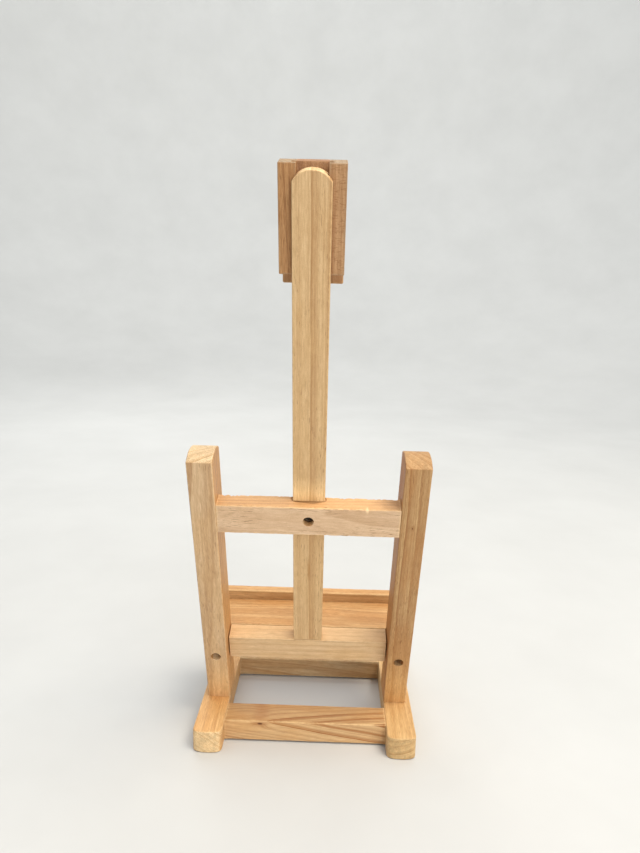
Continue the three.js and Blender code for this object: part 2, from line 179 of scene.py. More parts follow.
# ---------------------------------------------------------------------------
# wood
# ---------------------------------------------------------------------------
# One solid wood pattern for every piece. Growth rings are cylinders round a
# pith line that runs nearly along the grain, so face, edge and end grain of a
# bar all belong together. Lengths are millimetres; the grain runs along Z.
def wood_group():
    g = bpy.data.node_groups.new("wood_core", "ShaderNodeTree")
    sock = g.interface.new_socket
    for nm, kind, dv in (
        ("P", "NodeSocketVector", None), ("Half", "NodeSocketVector", (10, 10, 100)),
        ("Seed", "NodeSocketVector", (0, 0, 0)), ("End", "NodeSocketFloat", 0.0), ("Top", "NodeSocketFloat", 0.0),
        ("Pith", "NodeSocketVector", (40, 10, 0)), ("Tilt", "NodeSocketVector", (0, 0, 0)),
        ("Ring", "NodeSocketFloat", 3.0), ("RingContrast", "NodeSocketFloat", 0.5), ("Warp", "NodeSocketFloat", 2.0),
        ("Light", "NodeSocketColor", (0.6, 0.4, 0.2, 1)), ("Dark", "NodeSocketColor", (0.45, 0.28, 0.13, 1)),
        ("Tint", "NodeSocketColor", (0.6, 0.35, 0.16, 1)), ("TintAmount", "NodeSocketFloat", 0.3),
        ("EndColor", "NodeSocketColor", (0.75, 0.55, 0.3, 1)), ("TopLightColor", "NodeSocketColor", (0.7, 0.45, 0.2, 1)),
        ("Fibre", "NodeSocketFloat", 0.16), ("Dash", "NodeSocketFloat", 0.4),
        ("Streak", "NodeSocketFloat", 0.35), ("Speck", "NodeSocketFloat", 0.30), ("Low", "NodeSocketFloat", 0.0),
        ("LowColor", "NodeSocketColor", (1.06, 0.95, 0.80, 1)), ("Side", "NodeSocketFloat", 0.0),
        ("SideShadeColor", "NodeSocketColor", (1, 1, 1, 1)), ("Fleck", "NodeSocketFloat", 0.0),
        ("Mark", "NodeSocketVector", (0, 0, 9999)), ("MarkScale", "NodeSocketVector", (1, 1, 1)), ("MarkAmount", "NodeSocketFloat", 0.0),
        ("MarkColor", "NodeSocketColor", (0.5, 0.3, 0.15, 1)),
        ("Knot", "NodeSocketVector", (0, 0, 9999)), ("KnotDir", "NodeSocketVector", (0, 1, 0)), ("KnotSize", "NodeSocketFloat", 1.0),
    ):
        s = sock(name=nm, in_out="INPUT", socket_type=kind)
        if dv is not None:
            s.default_value = dv
    for nm, kind in (("Color", "NodeSocketColor"), ("Height", "NodeSocketFloat"), ("Roughness", "NodeSocketFloat")):
        sock(name=nm, in_out="OUTPUT", socket_type=kind)
    T = Tree(g)
    gi = T.node("NodeGroupInput")
    go = T.node("NodeGroupOutput")
    I = gi.outputs
    p0 = I["P"]
    ps = T.v("ADD", p0, I["Seed"])

    # knot: rings part round it and darken to its heart
    kv = T.v("SUBTRACT", p0, I["Knot"])
    kd = I["KnotDir"]
    kal = T.v("DOT_PRODUCT", kv, kd)
    kperp = T.v("SUBTRACT", kv, T.v("SCALE", kd, scale=kal))
    ksq = T.scaled(kperp, 1.0, 1.0, 0.42)          # longer along the grain
    kdist = T.m("DIVIDE", T.v("LENGTH", ksq), I["KnotSize"])
    kfar = T.m("EXPONENT", T.m("MULTIPLY", T.m("MULTIPLY", kdist, kdist), -0.10))
    kcore = T.remap(T.m("ADD", kdist, T.m("MULTIPLY", T.noise(ps, 1.3, 2.0), 0.5)), 0.7, 1.35, 1.0, 0.0, smooth=True)
    khalo = T.remap(kdist, 1.0, 4.2, 1.0, 0.0, smooth=True)

    # slow wander of the grain
    wv = T.noise(T.scaled(ps, 0.020, 0.020, 0.0055), 1.0, 2.0, 0.5, color=True)
    wv = T.v("SUBTRACT", wv, (0.5, 0.5, 0.5))
    wv = T.v("SCALE", wv, scale=T.m("MULTIPLY", I["Warp"], 4.0))
    q = T.v("ADD", p0, wv)
    qx, qy, qz = T.xyz(q)
    px, py, _ = T.xyz(I["Pith"])
    tx, ty, _ = T.xyz(I["Tilt"])
    dx = T.m("SUBTRACT", qx, T.m("MULTIPLY_ADD", tx, qz, px))
    dy = T.m("SUBTRACT", qy, T.m("MULTIPLY_ADD", ty, qz, py))
    r = T.m("SQRT", T.m("ADD", T.m("MULTIPLY", dx, dx), T.m("MULTIPLY", dy, dy)))
    ripple = T.m("SUBTRACT", T.noise(T.scaled(ps, 0.11, 0.11, 0.018), 1.0, 3.0, 0.55), 0.5)
    r = T.m("MULTIPLY_ADD", ripple, 1.7, r)
    r = T.m("MULTIPLY_ADD", kfar, T.m("MULTIPLY", I["KnotSize"], 2.6), r)
    # the rings are not evenly wide
    rn = T.m("DIVIDE", r, I["Ring"])
    rn = T.m("ADD", rn, T.m("MULTIPLY", T.m("SUBTRACT", T.noise1(rn, 0.37, 2.0), 0.5), 2.2))
    phase = T.m("FRACT", rn)
    which = T.m("FLOOR", rn)
    strength = T.remap(T.noise1(T.m("ADD", which, 0.37), 1.7, 0.0), 0.3, 0.7, 0.25, 1.0)
    late = T.m("MULTIPLY", T.remap(phase, 0.15, 0.90, 0.0, 1.0, smooth=True), T.remap(phase, 0.94, 1.0, 1.0, 0.0, smooth=True))
    late = T.m("MULTIPLY", T.m("POWER", late, 1.5), strength)
    sub = T.m("FRACT", T.m("ADD", T.m("MULTIPLY", rn, 2.63), T.m("MULTIPLY", T.noise1(rn, 1.9, 1.0), 1.3)))
    sub = T.m("MULTIPLY", T.remap(sub, 0.30, 0.88, 0.0, 1.0, smooth=True), T.remap(sub, 0.90, 1.0, 1.0, 0.0, smooth=True))
    late = T.m("MINIMUM", T.m("MULTIPLY_ADD", sub, 0.34, late), 1.0)

    # fibres and dashes run along the grain
    f1 = T.noise(T.scaled(ps, 1.05, 1.05, 0.028), 1.0, 3.0, 0.55)
    f2 = T.noise(T.scaled(ps, 4.2, 4.2, 0.17), 1.0, 2.0, 0.6)
    f3 = T.noise(T.scaled(T.v("ADD", ps, (3.0, 41.0, 1.0)), 0.40, 0.40, 0.011), 1.0, 2.0, 0.5)
    fib = T.m("ADD", T.m("MULTIPLY", f1, 0.50), T.m("MULTIPLY", f2, 0.50))
    here = T.noise(T.scaled(T.v("ADD", ps, (71.0, 11.0, 2.0)), 0.10, 0.10, 0.022), 1.0, 2.0, 0.5)
    d1 = T.noise(T.scaled(T.v("ADD", ps, (31.0, 17.0, 5.0)), 2.1, 2.1, 0.17), 1.0, 1.5, 0.5)
    dash = T.m("MULTIPLY", T.remap(d1, 0.60, 0.70, 0.0, 1.0, smooth=True), T.remap(here, 0.40, 0.58, 0.15, 1.0, smooth=True))
    # slow colour changes
    tn = T.noise(T.scaled(T.v("ADD", ps, (7.0, 3.0, 11.0)), 0.065, 0.065, 0.016), 1.0, 3.0, 0.55)
    tint = T.m("MULTIPLY", T.remap(tn, 0.40, 0.60, 0.0, 1.0, smooth=True), I["TintAmount"])
    mott = T.noise(T.scaled(ps, 0.30, 0.30, 0.12), 1.0, 5.0, 0.62)
    speck = T.noise(T.scaled(ps, 2.6, 2.6, 1.5), 1.0, 2.0, 0.65)

    col = T.mix(T.m("MULTIPLY", late, I["RingContrast"]), I["Light"], T.v("MULTIPLY", I["Dark"], (0.92, 0.88, 0.84)))
    col = T.mix(tint, col, I["Tint"])
    # broad soft streaks
    col = T.mix(T.m("MULTIPLY", T.remap(f3, 0.46, 0.64, 0.0, 1.0, smooth=True), I["Streak"]), col, I["Dark"])
    # cross flecks of a quarter-sawn face
    fl = T.noise(T.scaled(T.v("ADD", ps, (9.0, 2.0, 21.0)), 0.42, 0.42, 1.5), 1.0, 2.0, 0.6)
    col = T.mix(T.m("MULTIPLY", T.remap(fl, 0.50, 0.66, 0.0, 1.0, smooth=True), I["Fleck"]), col, I["Dark"])
    fibn = T.m("ADD", T.m("MULTIPLY", T.m("SUBTRACT", f1, 0.5), 3.0), T.m("MULTIPLY", T.m("SUBTRACT", f2, 0.5), 5.6))
    val = T.m("MULTIPLY_ADD", fibn, I["Fibre"], 1.0)
    val = T.m("MULTIPLY", val, T.m("MULTIPLY_ADD", T.m("SUBTRACT", mott, 0.5), 0.24, 1.0))
    val = T.m("MULTIPLY", val, T.m("MULTIPLY_ADD", T.m("SUBTRACT", speck, 0.5), I["Speck"], 1.0))
    val = T.m("MAXIMUM", val, 0.2)              # darker wood is also redder, never greyer
    col = T.v("MULTIPLY", col, T.vec(T.m("POWER", val, 0.85), T.m("POWER", val, 1.15), T.m("POWER", val, 1.55)))
    dash_amt = T.m("MULTIPLY", dash, I["Dash"])
    col = T.mix(dash_amt, col, T.v("MULTIPLY", I["Dark"], (0.52, 0.43, 0.34)))

    # another tone along the grain; on the mast a lighter band, painted bounced light at its foot
    col = T.mix(I["Low"], col, T.v("MULTIPLY", col, I["LowColor"]))
    # painted shade: the left and right faces darkened and warmed
    col = T.mix(I["Side"], col, T.v("MULTIPLY", col, I["SideShadeColor"]))
    # painted light: upward faces take another tint, standing in for warm light from above
    col = T.mix(I["Top"], col, T.v("MULTIPLY", col, I["TopLightColor"]))

    # end grain: paler, with open cells and firmer rings
    cell = T.noise(T.scaled(ps, 2.4, 2.4, 0.4), 1.0, 2.5, 0.75)
    pores = T.remap(cell, 0.53, 0.63, 0.0, 1.0, smooth=True)
    saw = T.noise(T.scaled(ps, 0.5, 2.6, 2.6), 1.0, 2.0, 0.6)
    ecol = T.mix(T.m("MULTIPLY", late, 0.85), I["EndColor"], T.v("MULTIPLY", I["EndColor"], (0.72, 0.60, 0.46)))
    ecol = T.mix(T.m("MULTIPLY", pores, 0.72), ecol, T.v("MULTIPLY", I["Dark"], (0.78, 0.70, 0.60)))
    ecol = T.v("SCALE", ecol, scale=T.m("MULTIPLY_ADD", T.m("SUBTRACT", saw, 0.5), 0.30, 1.0))
    ecol = T.v("SCALE", ecol, scale=T.m("MULTIPLY_ADD", T.m("SUBTRACT", mott, 0.5), 0.80, 1.0))
    col = T.mix(I["End"], col, ecol)

    # heart of the knot
    col = T.mix(T.m("MULTIPLY", khalo, 0.45), col, T.v("MULTIPLY", I["Dark"], (0.86, 0.68, 0.48)))
    col = T.mix(T.m("MULTIPLY", kcore, 0.92), col, T.v("MULTIPLY", I["Dark"], (0.26, 0.17, 0.11)))

    # one small stain or torn spot
    mv = T.v("LENGTH", T.v("MULTIPLY", T.v("SUBTRACT", p0, I["Mark"]), I["MarkScale"]))
    mv = T.m("MULTIPLY_ADD", T.m("SUBTRACT", T.noise(T.scaled(ps, 1.1, 1.1, 0.6), 1.0, 3.0, 0.6), 0.5), 1.1, mv)
    col = T.mix(T.m("MULTIPLY", T.remap(mv, 0.45, 1.15, 1.0, 0.0, smooth=True), I["MarkAmount"]), col, I["MarkColor"])

    # rubbed arrises, lightened: partly real wear, partly a painted highlight along the edges
    hx, hy, hz = T.xyz(T.v("SUBTRACT", I["Half"], T.v("ABSOLUTE", p0)))
    mn, mx = T.m("MINIMUM", hx, hy), T.m("MAXIMUM", hx, hy)
    second = T.m("MAXIMUM", mn, T.m("MINIMUM", mx, hz))
    en = T.noise(T.scaled(ps, 0.55, 0.55, 0.30), 1.0, 3.0, 0.6)
    arris_wear_highlight = T.remap(T.m("MULTIPLY_ADD", T.m("SUBTRACT", en, 0.5), -2.6, second), 0.10, 1.05, 1.0, 0.0, smooth=True)
    col = T.mix(T.m("MULTIPLY", arris_wear_highlight, 0.42), col, T.v("MULTIPLY", I["EndColor"], (1.04, 1.0, 0.94)))
    # handling marks
    hand = T.noise(T.scaled(T.v("ADD", ps, (51.0, 5.0, 13.0)), 0.06, 0.06, 0.035), 1.0, 4.0, 0.6)
    dull = T.remap(hand, 0.52, 0.70, 0.0, 1.0, smooth=True)
    col = T.mix(T.m("MULTIPLY", dull, 0.10), col, T.v("MULTIPLY", I["Dark"], (0.90, 0.78, 0.62)))

    h = T.m("MULTIPLY", fib, T.m("MULTIPLY_ADD", I["End"], -0.7, 1.0))
    h = T.m("MULTIPLY_ADD", late, 0.22, h)
    h = T.m("MULTIPLY_ADD", speck, 0.30, h)
    h = T.m("MULTIPLY_ADD", dash_amt, -0.7, h)
    h = T.m("MULTIPLY_ADD", T.m("MULTIPLY", pores, I["End"]), -0.9, h)
    h = T.m("MULTIPLY_ADD", T.m("MULTIPLY", saw, I["End"]), 0.8, h)
    h = T.m("MULTIPLY_ADD", kcore, -1.2, h)

    ro = T.m("MULTIPLY_ADD", T.m("SUBTRACT", fib, 0.5), 0.36, 0.57)
    ro = T.m("MULTIPLY_ADD", late, -0.08, ro)
    ro = T.m("MULTIPLY_ADD", I["End"], 0.16, ro)
    ro = T.m("MULTIPLY_ADD", arris_wear_highlight, -0.08, ro)
    ro = T.m("MULTIPLY_ADD", dull, -0.09, ro)
    T.put(go.inputs["Color"], col)
    T.put(go.inputs["Height"], h)
    T.put(go.inputs["Roughness"], T.m("MAXIMUM", T.m("MINIMUM", ro, 0.9), 0.3))
    return g


WOOD = wood_group()
GRAIN = {"x": (1, 2, 0), "y": (2, 0, 1), "s": (0, 1, 2)}     # which local axes become x, y, z of the wood


def local_box(node, lean):
    co = np.array([v.co for v in NODES[node].data.vertices], float)
    if lean:
        co = co @ np.array(TO_LOCAL).T
    return co.min(0), co.max(0)


# how light each piece of timber is, as a factor on its colours, and the same for its end grain
MUL = {
    "foot_right": (0.98, 1.02, 1.02),
    "foot_left": (0.90, 1.00, 1.08),
    "rear_base_rail": (0.89, 0.87, 0.85),
    "front_base_rail": (0.82, 0.88, 0.96),
    "upright_right": (0.96, 0.98, 1.02),
    "upright_left": (0.84, 0.78, 0.70),
    "upper_crossbar": (1.01, 0.99, 1.01),
    "lower_crossbar": (1.03, 1.05, 1.14),
    "mast": (0.94, 0.93, 0.94),
    "ledge_board": (0.88, 0.87, 0.86),
    "ledge_lip": (0.9, 0.89, 0.88),
    "clamp_cheek_right": (1.06, 1.07, 1.00),
    "clamp_cheek_left": (0.83, 0.84, 0.80),
    "clamp_spacer": (0.90, 0.96, 0.95),
    "clamp_lip": (0.9, 0.9, 0.88),
}
END_MUL = {
    "foot_right": (0.98, 0.97, 0.99),
    "foot_left": (0.74, 0.68, 0.60),
    "upright_right": (0.98, 0.97, 1.06),
    "upright_left": (0.58, 0.48, 0.41),
    "clamp_cheek_right": (0.60, 0.64, 0.72),
    "clamp_cheek_left": (0.60, 0.64, 0.72),
}


def tone(c, m):
    return (c[0] * m[0], c[1] * m[1], c[2] * m[2], 1.0)


def wood(node, name, lean, grain, light, dark, tint, end, top=(1.0, 0.93, 0.84), **k):
    """A wood material for one CAD node, in that node's own frame."""
    mat, T, bsdf = principled(name)
    lo, hi = local_box(node, lean)
    order = GRAIN[grain]
    tc = T.node("ShaderNodeTexCoord")
    vec, nrm = tc.outputs["Object"], tc.outputs["Normal"]
    if lean:
        outs = []
        for v in (vec, nrm):
            rot = T.node("ShaderNodeVectorRotate", rotation_type="X_AXIS")
            T.put(rot.inputs["Vector"], v)
            rot.inputs["Angle"].default_value = LEAN
            outs.append(rot.outputs[0])
        vec, nrm = outs
    c = (lo + hi) / 2
    p = T.v("SCALE", T.v("SUBTRACT", vec, tuple(float(v) for v in c)), scale=1000.0)
    comp = T.xyz(p)
    P = T.vec(*[comp[i] for i in order])
    nc = T.xyz(nrm)
    along = T.m("ABSOLUTE", nc[order[2]])
    endm = T.remap(along, 0.62, 0.80, 0.0, 1.0, smooth=True)
    half = [float((hi - lo)[i]) * 500.0 for i in order]
    gr = T.node("ShaderNodeGroup", node_tree=WOOD)
    T.put(gr.inputs["P"], P)
    gr.inputs["Half"].default_value = half
    T.put(gr.inputs["End"], endm)
    # painted light: mask of the upward faces, which take the top tint standing in for warm light from above
    t = T.remap(nc[2], 0.55, 0.85, 0.0, 1.0, smooth=True)
    T.put(gr.inputs["Top"], T.m("MULTIPLY", t, T.m("SUBTRACT", 1.0, endm)))
    gr.inputs["TopLightColor"].default_value = (top[0], top[1], top[2], 1.0)
    side = k.pop("side", None)               # painted shade: the faces to the left and right darkened and warmed
    if side:
        side_shade_mask = T.remap(T.m("ABSOLUTE", nc[0]), 0.62, 0.80, 0.0, 1.0, smooth=True)
        T.put(gr.inputs["Side"], T.m("MULTIPLY", side_shade_mask, T.m("SUBTRACT", 1.0, endm)))
        gr.inputs["SideShadeColor"].default_value = (side[0], side[1], side[2], 1.0)
    mul = MUL.get(node, (1.0, 1.0, 1.0))
    gr.inputs["Light"].default_value = tone(light, mul)
    gr.inputs["Dark"].default_value = tone(dark, mul)
    gr.inputs["Tint"].default_value = tone(tint, mul)
    gr.inputs["EndColor"].default_value = tone(end, END_MUL.get(node, mul))
    names = dict(seed="Seed", pith="Pith", tilt="Tilt", ring="Ring", contrast="RingContrast", warp="Warp",
                 tint_amount="TintAmount", fibre="Fibre", dash="Dash", fleck="Fleck", streak="Streak", speck="Speck",
                 knot="Knot", knot_dir="KnotDir", knot_size="KnotSize",
                 mark="Mark", mark_scale="MarkScale", mark_amount="MarkAmount", mark_color="MarkColor")
    bump = k.pop("bump", 0.38)
    low = k.pop("low", None)                 # (from, to, amount, colour factor) along the grain: another tone at one end
    if low:
        gr.inputs["LowColor"].default_value = (low[3][0], low[3][1], low[3][2], 1.0)
        T.put(gr.inputs["Low"], T.remap(comp[order[2]], low[0], low[1], low[2], 0.0, smooth=True))
    zone = k.pop("zone", None)               # (centre, flat half, soft half, amount, colour factor) along the grain: a lighter band, painted bounced light
    if zone:
        gr.inputs["LowColor"].default_value = (zone[4][0], zone[4][1], zone[4][2], 1.0)
        away = T.m("ABSOLUTE", T.m("SUBTRACT", comp[order[2]], zone[0]))
        T.put(gr.inputs["Low"], T.remap(away, zone[1], zone[2], zone[3], 0.0, smooth=True))
    for key, v in k.items():
        gr.inputs[names[key]].default_value = v
    T.put(bsdf.inputs["Base Color"], gr.outputs["Color"])
    T.put(bsdf.inputs["Roughness"], gr.outputs["Roughness"])
    bsdf.inputs["Specular IOR Level"].default_value = 0.36
    b = T.node("ShaderNodeBump")
    b.inputs["Strength"].default_value = bump
    b.inputs["Distance"].default_value = 0.00025
    T.put(b.inputs["Height"], gr.outputs["Height"])
    T.put(bsdf.inputs["Normal"], b.outputs[0])
    return mat


def dress(node, mat):
    """Material and clean shading for a CAD node that keeps its own shape."""
    o = NODES[node]
    o.data.materials.clear()
    o.data.materials.append(mat)
    if "custom_normal" in o.data.attributes:
        o.data.attributes.remove(o.data.attributes["custom_normal"])
    o.data.polygons.foreach_set("use_smooth", [True] * len(o.data.polygons))
    w = o.modifiers.new("join", "WELD")
    w.merge_threshold = 0.000004
    e = o.modifiers.new("crisp", "EDGE_SPLIT")
    e.split_angle = math.radians(50)
    e.use_edge_sharp = False
    n = o.modifiers.new("flats", "WEIGHTED_NORMAL")
    n.weight = 100
    return o


# ---------------------------------------------------------------------------
# shapes: outlines extruded with worn, rounded arrises
# ---------------------------------------------------------------------------
Y_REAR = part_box("foot_left")[1].y            # rear end of the feet
SIN, COS = math.sin(LEAN), math.cos(LEAN)
FROM_REAR, FOOT_H = 40.8, 16.0


def lean_xyz(x, o, s):
    """Leaning frame in millimetres (across, forward, up the mast) to the row frame in metres."""
    return Vector((x / 1000, -(FROM_REAR - s * SIN + o * COS) / 1000 + Y_REAR, (FOOT_H + s * COS + o * SIN) / 1000))


def base_xyz(x, y, z):
    """Base frame in millimetres: y runs forward from the rear end of the feet."""
    return Vector((x / 1000, Y_REAR - y / 1000, z / 1000))


def round_poly(pts, step, seg=3):
    """Closed outline of (u, v, corner radius) points, corners rounded, long edges divided."""
    out = []
    n = len(pts)
    for i, (u, v, r) in enumerate(pts):
        p = Vector((u, v))
        if r <= 0:
            out.append(p)
            continue
        d1 = (Vector(pts[i - 1][:2]) - p).normalized()
        d2 = (Vector(pts[(i + 1) % n][:2]) - p).normalized()
        half = d1.angle(d2) / 2
        c = p + (d1 + d2).normalized() * (r / math.sin(half))
        a, b = p + d1 * (r / math.tan(half)) - c, p + d2 * (r / math.tan(half)) - c
        sweep = a.angle_signed(b)
        for k in range(seg + 1):
            out.append(c + Matrix.Rotation(-sweep * k / seg, 2) @ a)
    res = []
    for i, a in enumerate(out):
        b = out[(i + 1) % len(out)]
        length = (b - a).length
        k = max(1, round(length / step)) if length > step * 1.4 else 1
        res += [a.lerp(b, j / k) for j in range(k)]
    return res


def outward(pts):
    area2 = sum(a.x * b.y - b.x * a.y for a, b in zip(pts, pts[1:] + pts[:1]))
    sgn = 1.0 if area2 > 0 else -1.0
    res = []
    for i, p in enumerate(pts):
        e1, e2 = (p - pts[i - 1]).normalized(), (pts[(i + 1) % len(pts)] - p).normalized()
        n = Vector((e1.y + e2.y, -e1.x - e2.x)) * sgn
        res.append(n.normalized() if n.length > 1e-9 else Vector((e1.y, -e1.x)) * sgn)
    return res


def prism(name, pts, w0, w1, place, r0=0.7, r1=0.7, wear=0.35, freq=0.13, seed=0.0, seg=3, mids=2,
          levels=None, chips=(), rough0=0.0, rough1=0.0, tight=None):
    """Extrude an outline from w0 to w1. place(u, v, w) gives the point in the row frame.

    wear varies the arris radius along its length, chips are (u, v, end, reach, size)
    knocks out of an arris, and rough adds a torn, sawn look to one end's arris. Near the two
    tight values of u the arris stays crisp, where the piece butts against another."""
    nrm = outward(pts)
    rings = [("lo", math.pi / 2 * k / seg) for k in range(seg + 1)]
    rings += levels if levels else [("mid", (m + 1) / (mids + 1)) for m in range(mids)]
    rings += [("hi", math.pi / 2 * (1 - k / seg)) for k in range(seg + 1)]

    def radius(p, base, which, rough):
        q = Vector((p.x * freq, p.y * freq, seed + which * 9.7))
        r = base * (1.0 + wear * (noise.noise(q) + 0.5 * noise.noise(q * 2.7)))
        if rough:
            k = Vector((p.x * 0.85, p.y * 0.85, seed + 3.3))
            r += rough * max(0.0, noise.noise(k) + 0.6 * noise.noise(k * 2.3)) + rough * 0.5 * max(0.0, noise.noise(k * 0.23))
        for cu, cv, cw, reach, size in chips:
            if cw == which:
                d = math.hypot(p.x - cu, p.y - cv) / reach
                if d < 1:
                    r += size * (1 - d * d) * (0.75 + 0.25 * noise.noise(Vector((p.x * 2.1, p.y * 2.1, seed))))
        if tight and min(abs(p.x - tight[0]), abs(p.x - tight[1])) < 0.7:
            r = min(r, 0.12)
        return max(r, 0.08)

    bm = bmesh.new()
    loops = []
    for kind, a in rings:
        loop = []
        for p, n in zip(pts, nrm):
            if kind == "lo":
                r = radius(p, r0, 0, rough0)
                w, ins = w0 + r * (1 - math.cos(a)), r * (1 - math.sin(a))
                q = p - n * ins
            elif kind == "hi":
                r = radius(p, r1, 1, rough1)
                w, ins = w1 - r * (1 - math.cos(a)), r * (1 - math.sin(a))
                q = p - n * ins
            elif kind == "mid":
                w, q = w0 + r0 + (w1 - r1 - w0 - r0) * a, p
            else:
                w, q = a
                q = q(p)
            loop.append(bm.verts.new(place(q.x, q.y, w)))
        loops.append(loop)
    m = len(pts)
    for la, lb in zip(loops, loops[1:]):
        for i in range(m):
            j = (i + 1) % m
            bm.faces.new((la[i], la[j], lb[j], lb[i]))
    bm.faces.new(loops[0])
    bm.faces.new(list(reversed(loops[-1])))
    bmesh.ops.remove_doubles(bm, verts=bm.verts, dist=2e-6)
    bmesh.ops.dissolve_degenerate(bm, edges=bm.edges, dist=1e-6)
    bmesh.ops.recalc_face_normals(bm, faces=bm.faces)
    me = bpy.data.meshes.new(name)
    bm.to_mesh(me)
    bm.free()
    o = bpy.data.objects.new(name, me)
    bpy.context.scene.collection.objects.link(o)
    return o


def pin(p0, p1, radius, seg=40, ragged=0.0, seed=0.0, mouth=0.0):
    """A closed round cutter from p0 to p1, metres; ragged roughens its wall, mouth flares the p0 end."""
    axis = (p1 - p0).normalized()
    side = axis.orthogonal().normalized()
    other = axis.cross(side)
    bm = bmesh.new()
    stops = [(0.0, radius + mouth), (0.30, radius + mouth), (0.36, radius), (1.0, radius)] if mouth else [(0.0, radius), (1.0, radius)]
    loops = []
    for t, r in stops:
        loop = []
        for i in range(seg):
            a = 2 * math.pi * i / seg
            rr = r * (1 + ragged * noise.noise(Vector((math.cos(a) * 2.2, math.sin(a) * 2.2, seed))))
            loop.append(bm.verts.new(p0.lerp(p1, t) + side * math.cos(a) * rr + other * math.sin(a) * rr))
        loops.append(loop)
    for la, lb in zip(loops, loops[1:]):
        for i in range(seg):
            j = (i + 1) % seg
            bm.faces.new((la[i], la[j], lb[j], lb[i]))
    bm.faces.new(loops[0])
    bm.faces.new(list(reversed(loops[-1])))
    bmesh.ops.recalc_face_normals(bm, faces=bm.faces)
    me = bpy.data.meshes.new("cutter")
    bm.to_mesh(me)
    bm.free()
    o = bpy.data.objects.new("cutter", me)
    bpy.context.scene.collection.objects.link(o)
    return o


def slab(p):
    """A closed cutter from eight corners, the first axis turning fastest."""
    bm = bmesh.new()
    v = [bm.verts.new(q) for q in p]
    for f in ((0, 1, 3, 2), (4, 6, 7, 5), (0, 4, 5, 1), (2, 3, 7, 6), (0, 2, 6, 4), (1, 5, 7, 3)):
        bm.faces.new([v[i] for i in f])
    bmesh.ops.recalc_face_normals(bm, faces=bm.faces)
    me = bpy.data.meshes.new("cutter")
    bm.to_mesh(me)
    bm.free()
    o = bpy.data.objects.new("cutter", me)
    bpy.context.scene.collection.objects.link(o)
    return o


def lathe(name, prof, place, seg=40, shape=None, tube=False):
    """Solid of revolution. prof is (radius, height) along the axis and shape(r, h, angle) may press a
    thread or a knurl into it. place(x, y, h) gives the point in the row frame."""
    bm = bmesh.new()
    loops = []
    for r, h in prof:
        if r <= 1e-6:
            loops.append([bm.verts.new(place(0.0, 0.0, h))])
            continue
        loop = []
        for i in range(seg):
            a = 2 * math.pi * i / seg
            q = shape(r, h, a) if shape else r
            loop.append(bm.verts.new(place(q * math.cos(a), q * math.sin(a), h)))
        loops.append(loop)
    pairs = list(zip(loops, loops[1:]))
    if tube:
        pairs.append((loops[-1], loops[0]))
    for la, lb in pairs:
        for i in range(seg):
            j = (i + 1) % seg
            if len(la) == 1:
                bm.faces.new((la[0], lb[j], lb[i]))
            elif len(lb) == 1:
                bm.faces.new((la[i], la[j], lb[0]))
            else:
                bm.faces.new((la[i], la[j], lb[j], lb[i]))
    bmesh.ops.recalc_face_normals(bm, faces=bm.faces)
    me = bpy.data.meshes.new(name)
    bm.to_mesh(me)
    bm.free()
    o = bpy.data.objects.new(name, me)
    bpy.context.scene.collection.objects.link(o)
    return o


def cut(o, cutters, op="DIFFERENCE"):
    for c in cutters:
        b = o.modifiers.new("cut", "BOOLEAN")
        b.operation = op
        b.solver = "EXACT"
        b.object = c
    bake(o)
    for c in cutters:
        me = c.data
        bpy.data.objects.remove(c, do_unlink=True)
        bpy.data.meshes.remove(me)


def bake(o):
    """Apply the object's modifiers to its mesh."""
    dg = bpy.context.evaluated_depsgraph_get()
    dg.update()
    me = bpy.data.meshes.new_from_object(o.evaluated_get(dg))
    old = o.data
    o.modifiers.clear()
    o.data = me
    bpy.data.meshes.remove(old)


def finish_piece(o, node, body, mat, sharp=50):
    me = o.data
    me.materials.clear()
    me.materials.append(mat)
    me.polygons.foreach_set("use_smooth", [True] * len(me.polygons))
    me.polygons.foreach_set("material_index", [0] * len(me.polygons))
    me.set_sharp_from_angle(angle=math.radians(sharp))
    n = o.modifiers.new("flats", "WEIGHTED_NORMAL")
    n.weight = 100
    n.keep_sharp = True
    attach(o, body)
    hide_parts(node)
    return o


EASE = 0.28         # glued faces close up to this much of their clearance


# extents of a leaning node as (x, o, s) in millimetres
def lean_extent(node):
    lo, hi = local_box(node, True)
    off = TO_LOCAL @ lean_xyz(0, 0, 0)
    s0, s1 = (lo[2] - off.z) * 1000, (hi[2] - off.z) * 1000
    o0, o1 = -(hi[1] - off.y) * 1000, -(lo[1] - off.y) * 1000
    return lo[0] * 1000, hi[0] * 1000, o0, o1, s0, s1


def base_extent(node):
    lo, hi = local_box(node, False)
    return lo[0] * 1000, hi[0] * 1000, (Y_REAR - hi[1]) * 1000, (Y_REAR - lo[1]) * 1000, lo[2] * 1000, hi[2] * 1000


def face_xs(x, s, o):
    return lean_xyz(x, o, s)


def face_xz(x, z, y):
    return base_xyz(x, y, z)


PINE_T = srgb(214, 160, 98)
PINE_E = srgb(238, 208, 158)
FRAME = "easel_frame"

# ---- feet -----------------------------------------------------------------
FOOT_TONE = {
    "foot_right": dict(light=srgb(222, 180, 128), dark=srgb(184, 130, 76), seed=(11, 3, 7), pith=(-34, 22, 0), tilt=(0.03, 0.02, 0),
                       ring=4.2, contrast=0.55, warp=1.2, tint_amount=0.45, dash=0.45),
    "foot_left": dict(light=srgb(224, 184, 132), dark=srgb(188, 138, 84), seed=(211, 43, 17), pith=(60, 14, 0), tilt=(-0.02, 0.01, 0),
                      ring=5.5, contrast=0.50, warp=1.0, tint_amount=0.35, dash=0.45),
}


